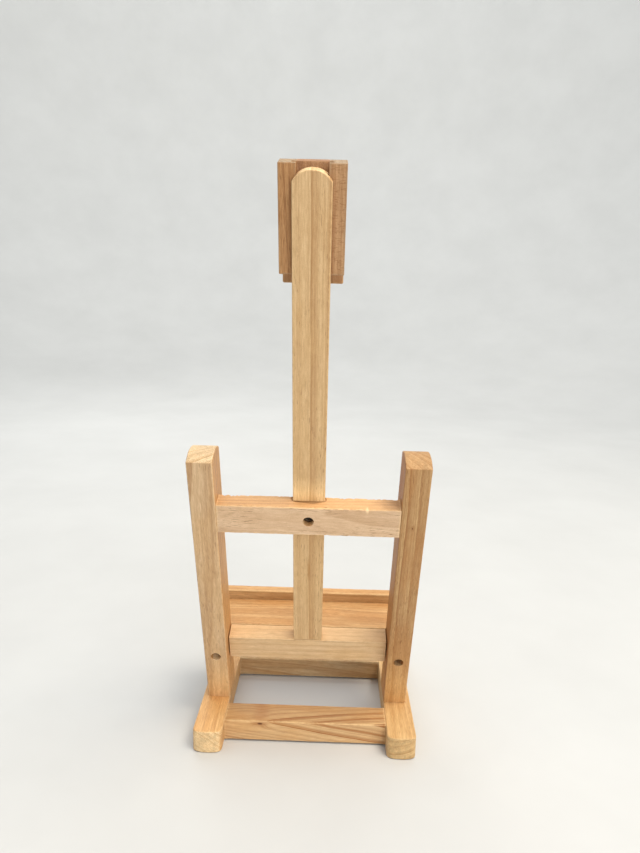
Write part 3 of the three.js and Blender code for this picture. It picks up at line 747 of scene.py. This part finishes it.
def foot_outline(xc, side):
    w, n, k, e, length = 10.0, 5.3, 5.6, 0.5, 128.0
    pts = []

    def quad(a, b, c, m=6):
        for i in range(1, m + 1):
            t = i / m
            pts.append(Vector(a) * (1 - t) ** 2 + Vector(b) * 2 * t * (1 - t) + Vector(c) * t * t)
    pts.append(Vector((xc - w, n)))
    for i in range(1, 31):
        pts.append(Vector((xc - w, n + (length - 2 * n) * i / 30)))
    quad((xc - w, length - n), (xc - w, length - 1.0), (xc - k, length - e))
    quad((xc - k, length - e), (xc, length + e), (xc + k, length - e))
    quad((xc + k, length - e), (xc + w, length - 1.0), (xc + w, length - n))
    for i in range(1, 31):
        pts.append(Vector((xc + w, length - n - (length - 2 * n) * i / 30)))
    quad((xc + w, n), (xc + w, 1.0), (xc + k, e))
    quad((xc + k, e), (xc, -e), (xc - k, e))
    quad((xc - k, e), (xc - w, 1.0), (xc - w, n))
    pts.pop()
    return [Vector((p.x, min(max(p.y, 0.03), length - 0.05))) for p in pts]


for node, g in (("foot_left", -1), ("foot_right", 1)):
    x0, x1, y0, y1, z0, z1 = base_extent(node)
    o = prism(node + "_bar", foot_outline((x0 + x1) / 2, g), z0, z1, lambda u, v, w: base_xyz(u, v, w),
              r0=0.7, r1=0.85, wear=0.45, seed=3.1 + g, chips=[((x0 + x1) / 2 + 7.0 * g, 0.2, 0, 2.2, 0.5)])
    xs = g * 65.0
    cut(o, [pin(base_xyz(xs, FROM_REAR + 6.4, -0.5), base_xyz(xs, FROM_REAR + 6.4, 5.2), 0.0040),
            pin(base_xyz(xs, FROM_REAR + 6.4, 5.0), base_xyz(xs, FROM_REAR + 6.4, 17), 0.0020, 20),
            pin(base_xyz(xs, FROM_REAR + 16.2, 7), base_xyz(xs, FROM_REAR + 16.2, 17), 0.0033, 20)])
    d = dict(FOOT_TONE[node])
    finish_piece(o, node, FRAME, wood(node, "wood_" + node, False, "y", d.pop("light"), d.pop("dark"), PINE_T, PINE_E, **d))

# ---- base rails -----------------------------------------------------------
for node, d in (
    ("rear_base_rail", dict(light=srgb(226, 188, 138), dark=srgb(176, 118, 64), tint=srgb(220, 164, 98), seed=(5, 91, 40), pith=(26, 30, 0),
                            tilt=(0.02, 0.15, 0), ring=4.6, contrast=1.0, warp=2.2, tint_amount=0.4, dash=0.2, streak=0.10, fibre=0.10,
                            # painted light: the top faces take a darker tint
                            top=(0.83, 0.81, 0.77),
                            knot=(9.6, 5.5, 31.7), knot_dir=(1, 0, 0), knot_size=0.9)),
    ("front_base_rail", dict(light=srgb(214, 178, 130), dark=srgb(176, 128, 78), tint=PINE_T, seed=(75, 19, 4), pith=(-30, -26, 0),
                             tilt=(0.05, 0.03, 0), ring=3.8, contrast=0.7, warp=1.6, tint_amount=0.4, dash=0.35)),
):
    x0, x1, y0, y1, z0, z1 = base_extent(node)
    x0, x1 = x0 - EASE, x1 + EASE
    pts = round_poly([(x0, z0, 0.12), (x1, z0, 0.12), (x1, z1, 0.12), (x0, z1, 0.12)], 3.5)
    o = prism(node + "_bar", pts, y0, y1, face_xz, r0=0.75, r1=0.6, wear=0.45, seed=11.0 + y0, mids=3, tight=(x0, x1))
    finish_piece(o, node, FRAME, wood(node, "wood_" + node, False, "x", d.pop("light"), d.pop("dark"), d.pop("tint"), PINE_E, **d))

# ---- uprights -------------------------------------------------------------
UP_W, UP_D, UP_S, CROWN, CROWN_O, FRONT_S = 16.0, 24.0, 206.3, 208.5, 12.0, 204.0
SCREW_S = 42.4
# side= paints shade on each upright's left and right faces
UP_TONE = {
    "upright_right": dict(light=srgb(216, 180, 136), dark=srgb(178, 134, 90), tint=srgb(206, 160, 104), low=(-92.0, -52.0, 1.0, (1.26, 1.26, 1.16)), side=(0.98, 0.81, 0.58), seed=(31, 63, 12), pith=(24, -46, 0),
                          tilt=(0.015, 0.03, 0), ring=5.0, contrast=0.65, warp=1.8, tint_amount=0.35, dash=0.55),
    "upright_left": dict(light=srgb(208, 172, 124), dark=srgb(168, 118, 68), tint=srgb(190, 138, 84), low=(-92.0, -44.0, 1.0, (1.48, 1.70, 1.88)), side=(0.85, 0.66, 0.44), seed=(131, 9, 82), pith=(-40, -30, 0),
                         tilt=(-0.02, 0.02, 0), ring=4.0, contrast=0.8, warp=1.8, tint_amount=0.60, dash=0.55,
                         knot=(0.4, 11.5, 61.8), knot_dir=(0, 1, 0), knot_size=0.35),
}


def foot_cut(o, gap):
    return (gap - o * SIN) / COS


for node, g in (("upright_left", -1), ("upright_right", 1)):
    xc = g * 65.0
    kx, ky = 2 * CROWN_O - UP_D / 2, 2 * CROWN - (UP_S + FRONT_S) / 2
    raw = [(0, foot_cut(0, 0.03), 0.3), (UP_D, foot_cut(UP_D, 0.03), 0.3), (UP_D, FRONT_S, 0.7)]
    for i in range(11, 0, -1):
        t = i / 12
        raw.append(((1 - t) ** 2 * 0 + 2 * t * (1 - t) * kx + t * t * UP_D, (1 - t) ** 2 * UP_S + 2 * t * (1 - t) * ky + t * t * FRONT_S, 0))
    raw.append((0, UP_S, 0.6))
    pts = round_poly(raw, 3.6)
    o = prism(node + "_bar", pts, xc - UP_W / 2, xc + UP_W / 2, lambda u, v, w: lean_xyz(w, u, v),
              r0=0.9, r1=0.9, wear=0.40, seed=21.0 + g, mids=3,
              chips=[(0, 118.0, 1 if g > 0 else 0, 2.6, 0.5)])
    cut(o, [pin(lean_xyz(xc, -1, SCREW_S), lean_xyz(xc, 8, SCREW_S), 0.00345, 44, ragged=0.035, seed=g, mouth=0.0),
            pin(lean_xyz(xc, 7.9, SCREW_S), lean_xyz(xc, UP_D + 1, SCREW_S), 0.0020, 20)])
    d = dict(UP_TONE[node])
    finish_piece(o, node, FRAME,
                 wood(node, "wood_" + node, True, "s", d.pop("light"), d.pop("dark"), d.pop("tint"), PINE_E, **d))

# ---- crossbars ------------------------------------------------------------
x0, x1, o0, o1, s0, s1 = lean_extent("upper_crossbar")
x0, x1 = x0 - EASE, x1 + EASE
UB = (s0 + s1) / 2
raw = [(x0, o0, 0.12), (x1, o0, 0.12), (x1, o1, 0.12), (10.3, o1, 0.25), (10.3, 7.75, 0), (-10.3, 7.75, 0), (-10.3, o1, 0.25), (x0, o1, 0.12)]
o = prism("upper_crossbar_bar", round_poly(raw, 1.15), s0, s1, lambda u, v, w: lean_xyz(u, v, w),
          r0=0.32, r1=0.42, wear=0.35, seed=31.0, mids=3, rough0=0.7, rough1=2.3, tight=(x0, x1),
          chips=[(-37.0, o0, 1, 3.0, 1.9), (30.5, o0, 1, 1.8, 1.0), (48.0, o1, 1, 2.6, 1.3), (-12.0, o0, 0, 1.8, 0.8)])
cut(o, [pin(lean_xyz(0, -1, UB), lean_xyz(0, o0 + 5.3, UB), 0.00345, 48, ragged=0.06, seed=4.0),
        pin(lean_xyz(0, o0 + 5.1, UB), lean_xyz(0, 13, UB), 0.0020, 20)])
finish_piece(o, "upper_crossbar", FRAME,
             wood("upper_crossbar", "wood_upper_crossbar", True, "x", srgb(222, 190, 152), srgb(186, 146, 106), srgb(208, 170, 126), PINE_E,
                  # painted light: the top faces take a warmer, darker tint for warm light from above
                  top=(0.93, 0.79, 0.58), seed=(61, 33, 92), pith=(55, 8, 0), tilt=(0.02, 0.01, 0), ring=3.2, contrast=0.45, warp=1.0,
                  tint_amount=0.25, dash=1.0, streak=0.08, speck=0.42, fibre=0.10,
                  mark=(6.0, 9.4, -36.2), mark_scale=(0.30, 0.42, 0.95), mark_amount=0.5, mark_color=srgb(244, 216, 170)))

x0, x1, o0, o1, s0, s1 = lean_extent("lower_crossbar")
raw = [(x0, s0, 0.4), (x1, s0, 0.4), (x1, s1, 0.4), (x0, s1, 0.4)]
o = prism("lower_crossbar_bar", round_poly(raw, 3.2), o0, o1, face_xs, r0=0.55, r1=0.5, wear=0.4, seed=41.0, mids=3,
          chips=[(-33.0, s0, 0, 2.4, 0.6)])
finish_piece(o, "lower_crossbar", FRAME,
             wood("lower_crossbar", "wood_lower_crossbar", True, "x", srgb(222, 188, 140), srgb(190, 146, 94), srgb(216, 172, 112), PINE_E,
                  # painted light: the top faces take a warmer tint for light from above
                  top=(1.0, 0.92, 0.82), seed=(16, 83, 29), pith=(40, -34, 0), tilt=(0.03, 0.02, 0), ring=4.4, contrast=0.45, warp=1.2,
                  tint_amount=0.30, dash=0.25, streak=0.10, fibre=0.09))

# ---- mast -----------------------------------------------------------------
MW, RISE = 10.0, 5.6
x0, x1, o0, o1, s0, s1 = lean_extent("mast")
MR = (MW * MW + RISE * RISE) / (2 * RISE)
MC = s1 - MR
s0 -= 0.36
raw = [(-MW, s0, 0.4), (MW, s0, 0.4)]
A0 = math.asin(MW / MR)
for i in range(25):
    a = A0 - 2 * A0 * i / 24
    raw.append((MR * math.sin(a), MC + MR * math.cos(a), 0.5 if i in (0, 24) else 0))
pts = round_poly(raw, 3.8)


def to_groove(p):
    return Vector((max(-7.7, min(7.7, p.x)), p.y))


def same(p):
    return p


o = prism("mast_bar", pts, o0, o1, face_xs, r0=0.65, r1=0.6, wear=0.40, seed=51.0,
          levels=[("at", (11.3, same)), ("at", (11.3, to_groove)), ("at", (14.3, to_groove)), ("at", (14.3, same))],
          chips=[(-10.0, 171.0, 0, 1.8, 0.35)])
finish_piece(o, "mast", FRAME,
             wood("mast", "wood_mast", True, "s", srgb(220, 184, 134), srgb(184, 138, 86), srgb(212, 170, 112), PINE_E,
                  seed=(82, 14, 53), pith=(-60, 2, 0), tilt=(0.004, 0.0, 0), ring=8.5, contrast=0.75, warp=0.5, tint_amount=0.25,
                  dash=0.60, streak=0.12, fibre=0.11,
                  # a lighter band near the foot, painted light bounced off the crossbar
                  mark=(-0.2, 4.75, -92.0), mark_scale=(0.85, 0.4, 0.11), mark_amount=0.42, mark_color=srgb(172, 120, 58), zone=(-38.0, 6.0, 22.0, 1.0, (1.42, 1.50, 1.52))))

# ---- ledge ----------------------------------------------------------------
x0, x1, o0, o1, s0, s1 = lean_extent("ledge_board")
raw = [(x0, s0, 0.8), (x1, s0, 0.8), (x1, s1, 0.8), (x0, s1, 0.8)]
o = prism("ledge_board_bar", round_poly(raw, 3.8), o0 - EASE + 0.03, o1, face_xs, r0=0.5, r1=0.5, wear=0.4, seed=61.0, mids=4)
finish_piece(o, "ledge_board", FRAME,
             wood("ledge_board", "wood_ledge_board", True, "x", srgb(220, 182, 132), srgb(180, 132, 80), PINE_T, PINE_E,
                  seed=(9, 29, 64), pith=(20, -50, 0), tilt=(0.04, 0.02, 0), ring=4.4, contrast=0.7, warp=2.0, tint_amount=0.4, dash=0.4))
x0, x1, o0, o1, s0, s1 = lean_extent("ledge_lip")
raw = [(x0, s0, 1.2), (x1, s0, 1.2), (x1, s1, 1.6), (x0, s1, 1.6)]
o = prism("ledge_lip_bar", round_poly(raw, 3.8, 4), o0 - EASE, o1, face_xs, r0=0.9, r1=1.5, wear=0.30, seed=71.0, seg=4, mids=2)
finish_piece(o, "ledge_lip", FRAME,
             wood("ledge_lip", "wood_ledge_lip", True, "x", srgb(218, 182, 134), srgb(180, 136, 86), PINE_T, PINE_E,
                  seed=(44, 57, 22), pith=(-44, 20, 0), tilt=(0.02, 0.03, 0), ring=3.6, contrast=0.6, warp=1.4, tint_amount=0.35, dash=0.45))

# ---- clamp block ----------------------------------------------------------
CHEEK = {
    "clamp_cheek_right": dict(light=srgb(188, 142, 98), dark=srgb(142, 98, 58), tint=srgb(166, 116, 72), end=srgb(206, 174, 132),
                              seed=(27, 18, 77), pith=(30, 20, 0), tilt=(0.03, 0.02, 0), ring=2.6, contrast=0.8, warp=1.0,
                              tint_amount=0.45, dash=0.6, fibre=0.24),
    "clamp_cheek_left": dict(light=srgb(202, 156, 112), dark=srgb(162, 112, 72), tint=srgb(192, 138, 94), end=srgb(210, 180, 140),
                             seed=(94, 71, 15), pith=(-80, 4, 0), tilt=(0.0, 0.01, 0), ring=5.0, contrast=0.4, warp=0.8,
                             tint_amount=0.4, dash=0.4, fleck=0.60),
}
for node, g in (("clamp_cheek_left", -1), ("clamp_cheek_right", 1)):
    x0, x1, o0, o1, s0, s1 = lean_extent(node)
    raw = [(o0, s0, 0.45), (o1, s0, 0.5), (o1, 346.0, 0.5), (24.4, s1, 0.5), (o0, s1, 0.4)]
    inner, outer = (0.18, 0.42) if g > 0 else (0.42, 0.18)
    o = prism(node + "_block", round_poly(raw, 3.0), x0, x1, lambda u, v, w: lean_xyz(w, u, v),
              r0=inner, r1=outer, wear=0.45, seed=85.0 + g, mids=1,
              chips=[(o0, s0 + 3.0, 1 if g > 0 else 0, 2.0, 0.35)])
    tx0, tx1 = (x0 - 1, 10.4) if g > 0 else (-10.4, x1 + 1)
    cut(o, [slab([lean_xyz(x, oo, ss) for ss in (s0 - 1, s1 + 1) for oo in (14.0, 17.7) for x in (tx0, tx1)])])
    d = dict(CHEEK[node])
    finish_piece(o, node, "clamp",
                 wood(node, "wood_" + node, True, "s", d.pop("light"), d.pop("dark"), d.pop("tint"), d.pop("end"), **d))
x0, x1, o0, o1, s0, s1 = lean_extent("clamp_spacer")
raw = [(o0, s0, 0.3), (o1, s0, 0.3), (o1, 346.0, 0.3), (24.4, s1, 0.3), (o0, s1, 0.3)]
o = prism("clamp_spacer_block", round_poly(raw, 3.0), x0 - EASE, x1 + EASE, lambda u, v, w: lean_xyz(w, u, v),
          r0=0.10, r1=0.10, wear=0.2, seed=81.0, mids=2)
cut(o, [pin(lean_xyz(0, 17, 331.0), lean_xyz(0, 37, 331.0), 0.0031, 28),
        pin(lean_xyz(0, 27.4, 331.0), lean_xyz(0, 37, 331.0), 0.0049, 32)])
finish_piece(o, "clamp_spacer", "clamp",
             wood("clamp_spacer", "wood_spacer", True, "s", srgb(184, 138, 100), srgb(136, 92, 62), srgb(158, 108, 74), srgb(172, 126, 90),
                  seed=(3, 66, 38), pith=(16, 30, 0), tilt=(0.02, 0.02, 0), ring=3.0, contrast=0.5, warp=1.0, tint_amount=0.4, dash=0.9,
                  fibre=0.20, speck=1.1))
x0, x1, o0, o1, s0, s1 = lean_extent("clamp_lip")
raw = [(x0, s0, 1.0), (x1, s0, 1.0), (x1, s1, 0.8), (x0, s1, 0.8)]
o = prism("clamp_lip_plate", round_poly(raw, 2.6), o0 - EASE, o1, face_xs, r0=0.5, r1=1.0, wear=0.35, seed=91.0, mids=1)
cut(o, [pin(lean_xyz(0, o1 + 0.6, 331.0), lean_xyz(0, o0 - 1, 331.0), 0.0033, 40, mouth=0.0)])
finish_piece(o, "clamp_lip", "clamp",
             wood("clamp_lip", "wood_clamp_lip", True, "s", srgb(196, 150, 106), srgb(150, 104, 64), srgb(182, 128, 82), srgb(208, 174, 130),
                  seed=(12, 36, 88), pith=(30, 40, 0), tilt=(0.03, 0.02, 0), ring=3.0, contrast=0.6, warp=1.0, tint_amount=0.4, dash=0.5))


# ---------------------------------------------------------------------------
# metal
# ---------------------------------------------------------------------------
def metal(name, base, dark, rough, scale=1.0):
    mat, T, bsdf = principled(name)
    tc = T.node("ShaderNodeTexCoord")
    p = T.v("SCALE", tc.outputs["Object"], scale=1000.0)
    n1 = T.noise(p, 0.9 * scale, 4.0, 0.6)
    n2 = T.noise(p, 6.0 * scale, 2.0, 0.6)
    col = T.mix(T.remap(n1, 0.42, 0.68, 0.0, 1.0, smooth=True), base, dark)
    T.put(bsdf.inputs["Base Color"], col)
    bsdf.inputs["Metallic"].default_value = 1.0
    T.put(bsdf.inputs["Roughness"], T.m("ADD", T.m("MULTIPLY", n1, 0.25), rough))
    b = T.node("ShaderNodeBump")
    b.inputs["Strength"].default_value = 0.25
    b.inputs["Distance"].default_value = 0.00004
    T.put(b.inputs["Height"], n2)
    T.put(bsdf.inputs["Normal"], b.outputs[0])
    return mat


STEEL = metal("dull_steel", srgb(112, 104, 92), srgb(70, 62, 54), 0.36)
BRASS = metal("turned_brass", srgb(200, 172, 122), srgb(176, 142, 92), 0.22)


def thread(depth, pitch, h0, h1):
    """A pressed-in screw thread between two heights, fading at both ends."""
    def shape(r, h, a):
        if h <= h0 or h >= h1:
            return r
        t = (h / pitch - a / (2 * math.pi)) % 1.0
        ridge = max(0.0, 1.0 - abs(t - 0.5) / 0.34)
        fade = min(1.0, (h - h0) / pitch, (h1 - h) / pitch)
        return r - depth * fade * (1.0 - ridge)
    return shape


def steps(r, h0, h1, step):
    n = max(1, round((h1 - h0) / step))
    return [(r, h0 + (h1 - h0) * i / n) for i in range(n + 1)]


def wood_screw(node, place, length, head_r, head_t, shank_r, slot_turn):
    t0, t1 = head_t + 0.30 * (length - head_t), length - 3.2
    prof = [(0, 0.06), (head_r * 0.35, 0.04), (head_r * 0.62, 0.08), (head_r - 0.42, 0.22), (head_r - 0.18, 0.40), (head_r - 0.04, 0.62),
            (head_r, 0.86), (head_r, head_t - 0.22), (head_r - 0.08, head_t - 0.06), (head_r - 0.25, head_t),
            (shank_r + 0.25, head_t), (shank_r + 0.05, head_t + 0.12), (shank_r, head_t + 0.30)]
    prof += steps(shank_r, head_t + 0.6, t1, 0.24)
    prof += [(shank_r * 0.80, length - 2.3), (shank_r * 0.52, length - 1.2), (0.30, length - 0.12), (0, length - 0.02)]
    o = lathe(node + "_turned", prof, place, 32, thread(0.42, 1.35, t0, t1))
    arms = []
    for k in (0, 1):
        a = slot_turn + k * math.pi / 2
        ca, sa = math.cos(a), math.sin(a)
        p = []
        for h, ln, w in ((-0.4, 2.05, 0.60), (1.25, 0.95, 0.30)):
            for v in (-w, w):
                for u in (-ln, ln):
                    p.append(place(u * ca - v * sa, u * sa + v * ca, h))
        arms.append(slab(p))
    cut(o, arms)
    finish_piece(o, node, FRAME, STEEL, sharp=35)


def along_o(x, o_at, s_at):
    return lambda u, v, h: lean_xyz(x + u, o_at + h, s_at + v)


for side, g in (("left", -1), ("right", 1)):
    wood_screw("ledge_screw_" + side, along_o(g * 65.0, 6.0, SCREW_S), 32.0, 3.05, 2.0, 1.7, 0.35 + 0.5 * g)
    wood_screw("foot_screw_" + side, (lambda xs: lambda u, v, h: base_xyz(xs + u, FROM_REAR + 6.4 + v, 2.7 + h))(g * 65.0),
               31.0, 3.5, 2.2, 1.7, 0.7 + 0.4 * g)
wood_screw("mast_screw", along_o(0.0, 3.5, UB), 12.0, 3.05, 1.9, 1.7, 0.5)

# threaded bush in the clamp
bush = [(2.95, 28.05), (4.05, 28.05), (4.45, 28.35)] + steps(4.55, 28.7, 34.6, 0.25) + [(4.55, 35.1), (4.5, 35.6), (4.3, 35.86),
        (3.2, 35.86), (2.82, 35.5)] + [(2.72, 35.5 - (35.5 - 28.4) * i / 28) for i in range(29)]
o = lathe("clamp_insert_bush", bush, along_o(0.0, 0.0, 331.0), 40,
          lambda r, h, a: thread(0.32, 1.2, 28.7, 34.8)(r, h, a) if r > 4.0 else r, tube=True)
finish_piece(o, "clamp_insert", "clamp", BRASS, sharp=35)

# thumbscrew: threaded shank, collar, knurled and dished head
OH = 41.9


def knurl(r, h, a):
    if r > 6.0:
        lift = min(1.0, max(0.0, (h - OH) / 0.5), max(0.0, (OH + 6.5 - h) / 0.5))
        wave = 0.5 + 0.5 * math.cos(20 * a)
        return r - 0.62 * (1.0 - wave ** 0.7) * (0.35 + 0.65 * lift)
    return thread(0.34, 1.0, 18.9, OH - 1.4)(r, h, a) if abs(r - 2.5) < 0.01 else r


prof = [(0, 17.62), (1.45, 17.62), (1.7, 17.72), (2.4, 18.35), (2.5, 18.6)] + steps(2.5, 18.9, OH - 1.3, 0.25)
prof += [(2.5, OH - 0.5), (2.6, OH - 0.2), (3.5, OH - 0.18), (3.75, OH - 0.08), (3.86, OH + 0.1), (3.86, OH + 0.32), (4.0, OH + 0.40), (5.7, OH + 0.02), (6.4, OH + 0.10),
         (6.85, OH + 0.38), (7.12, OH + 0.80), (7.18, OH + 1.3), (7.18, OH + 3.2), (7.18, OH + 5.2), (7.12, OH + 5.7), (6.85, OH + 6.12),
         (6.4, OH + 6.40), (5.7, OH + 6.48), (5.05, OH + 6.44), (4.86, OH + 6.25), (4.70, OH + 5.85), (4.45, OH + 5.72), (3.3, OH + 5.72),
         (3.06, OH + 5.84), (3.0, OH + 6.05), (2.92, OH + 6.28), (2.6, OH + 6.46), (1.2, OH + 6.52), (0, OH + 6.53)]
o = lathe("thumbscrew_turned", prof, along_o(0.0, 0.0, 331.0), 120, knurl)
finish_piece(o, "clamp_thumbscrew", "thumbscrew", BRASS, sharp=35)

count = 0
for n in NODES:
    if n.startswith(("foot_screw", "ledge_screw", "mast_screw")) or n in ("clamp_insert", "clamp_thumbscrew"):
        continue
    if "dowel" in n:
        upright_pin = n.startswith(("mast", "upright"))
        leaning = n.startswith(("mast", "upper", "lower"))
        dress(n, wood(n, "wood_" + n, leaning, "s" if upright_pin else "x",
                      srgb(226, 200, 158), srgb(196, 164, 120), srgb(216, 186, 140), srgb(232, 208, 168),
                      seed=(count * 17.0, 5.0, 3.0), pith=(14, 9, 0), ring=1.6, contrast=0.3, warp=0.3, tint_amount=0.2, dash=0.3))
        count += 1

# ---------------------------------------------------------------------------
# floor and backdrop: one pale sweep all round, open above
# ---------------------------------------------------------------------------
bm = bmesh.new()
profile = [(0.0, 0.0), (0.5, 0.0), (1.0, 0.0), (1.4, 0.0)]
profile += [(1.4 + 1.3 * math.sin(a), 1.3 - 1.3 * math.cos(a)) for a in [math.radians(90) * i / 16 for i in range(1, 17)]]
profile += [(2.7, 1.8), (2.7, 2.3)]
loops = []
for r, z in profile[1:]:
    loops.append([bm.verts.new((r * math.cos(2 * math.pi * i / 96), r * math.sin(2 * math.pi * i / 96), z - 0.0002)) for i in range(96)])
mid = bm.verts.new((0, 0, -0.0002))
for i in range(96):
    bm.faces.new((mid, loops[0][i], loops[0][(i + 1) % 96]))
for la, lb in zip(loops, loops[1:]):
    for i in range(96):
        bm.faces.new((la[i], lb[i], lb[(i + 1) % 96], la[(i + 1) % 96]))
me = bpy.data.meshes.new("studio_sweep")
bm.to_mesh(me)
bm.free()
me.polygons.foreach_set("use_smooth", [True] * len(me.polygons))
floor = bpy.data.objects.new("studio_sweep", me)
bpy.context.scene.collection.objects.link(floor)
fm, FT, fb = principled("sweep_pale")
ftc = FT.node("ShaderNodeTexCoord")
fn = FT.noise(ftc.outputs["Object"], 6.0, 4.0, 0.6)
FT.put(fb.inputs["Base Color"], FT.mix(FT.remap(fn, 0.3, 0.7), srgb(197, 197, 195), srgb(203, 203, 201)))
fb.inputs["Roughness"].default_value = 0.6
fb.inputs["Specular IOR Level"].default_value = 0.2
floor.data.materials.append(fm)

world = bpy.context.scene.world or bpy.data.worlds.new("studio")
bpy.context.scene.world = world
world.use_nodes = True
wt = world.node_tree
wt.nodes.clear()
WT = Tree(wt)
bg = WT.node("ShaderNodeBackground")
wo = WT.node("ShaderNodeOutputWorld")
wt.links.new(bg.outputs[0], wo.inputs[0])
bg.inputs["Color"].default_value = (0.90, 0.95, 1.0, 1.0)
bg.inputs["Strength"].default_value = 0.98


def area(name, loc, aim, size, watts, color):
    d = bpy.data.lights.new(name, "AREA")
    d.shape = "RECTANGLE"
    d.size, d.size_y = size
    d.energy = watts
    d.color = color
    o = bpy.data.objects.new(name, d)
    o.location = loc
    o.rotation_euler = (Vector(aim) - Vector(loc)).to_track_quat("-Z", "Y").to_euler()
    o.visible_camera = False
    bpy.context.scene.collection.objects.link(o)
    return o


area("key_overhead", (-0.60, 0.45, 1.55), (0, 0.02, 0.15), (0.7, 0.7), 20.2, (1.0, 0.90, 0.76))
area("fill_camera", (-0.75, 1.40, 0.75), (0, 0, 0.18), (1.1, 0.9), 11.0, (0.96, 0.98, 1.0))
area("wall_wash", (0.0, -0.95, 2.05), (0, -2.7, 0.55), (1.6, 0.6), 17.5, (1.0, 0.99, 0.96))
area("rim_front", (0.6, -1.2, 0.9), (0, 0, 0.2), (0.9, 0.9), 4.0, (1.0, 0.99, 0.97))

F_PX = 650.7
PITCH, ROLL, YAW = math.radians(11.48), math.radians(1.414), math.radians(-0.923)
CAM = (0.01198, -0.39288, 0.31132)       # from the rear ends of the feet: right, away, up
cam_data = bpy.data.cameras.new("photo_camera")
cam_data.sensor_width = 36.0
cam_data.lens = F_PX * 36.0 / 853.0
cam_data.clip_start, cam_data.clip_end = 0.01, 60.0
cam = bpy.data.objects.new("photo_camera", cam_data)
bpy.context.scene.collection.objects.link(cam)
cp, sp, cy, sy = math.cos(PITCH), math.sin(PITCH), math.cos(YAW), math.sin(YAW)
fwd = Vector((sy * cp, cy * cp, -sp))
right = Vector((cy, -sy, 0.0))
up = right.cross(fwd)
r2 = math.cos(ROLL) * right + math.sin(ROLL) * up
u2 = -math.sin(ROLL) * right + math.cos(ROLL) * up
turn = Matrix(((-1, 0, 0), (0, -1, 0), (0, 0, 1)))   # the view looks at the back
r2, u2, fwd = turn @ r2, turn @ u2, turn @ fwd
rot = Matrix((r2, u2, -fwd)).transposed()
cam.matrix_world = Matrix.Translation((-CAM[0], Y_REAR - CAM[1], CAM[2])) @ rot.to_4x4()
bpy.context.scene.camera = cam

sc = bpy.context.scene
sc.view_settings.view_transform = "Standard"
sc.view_settings.look = "None"
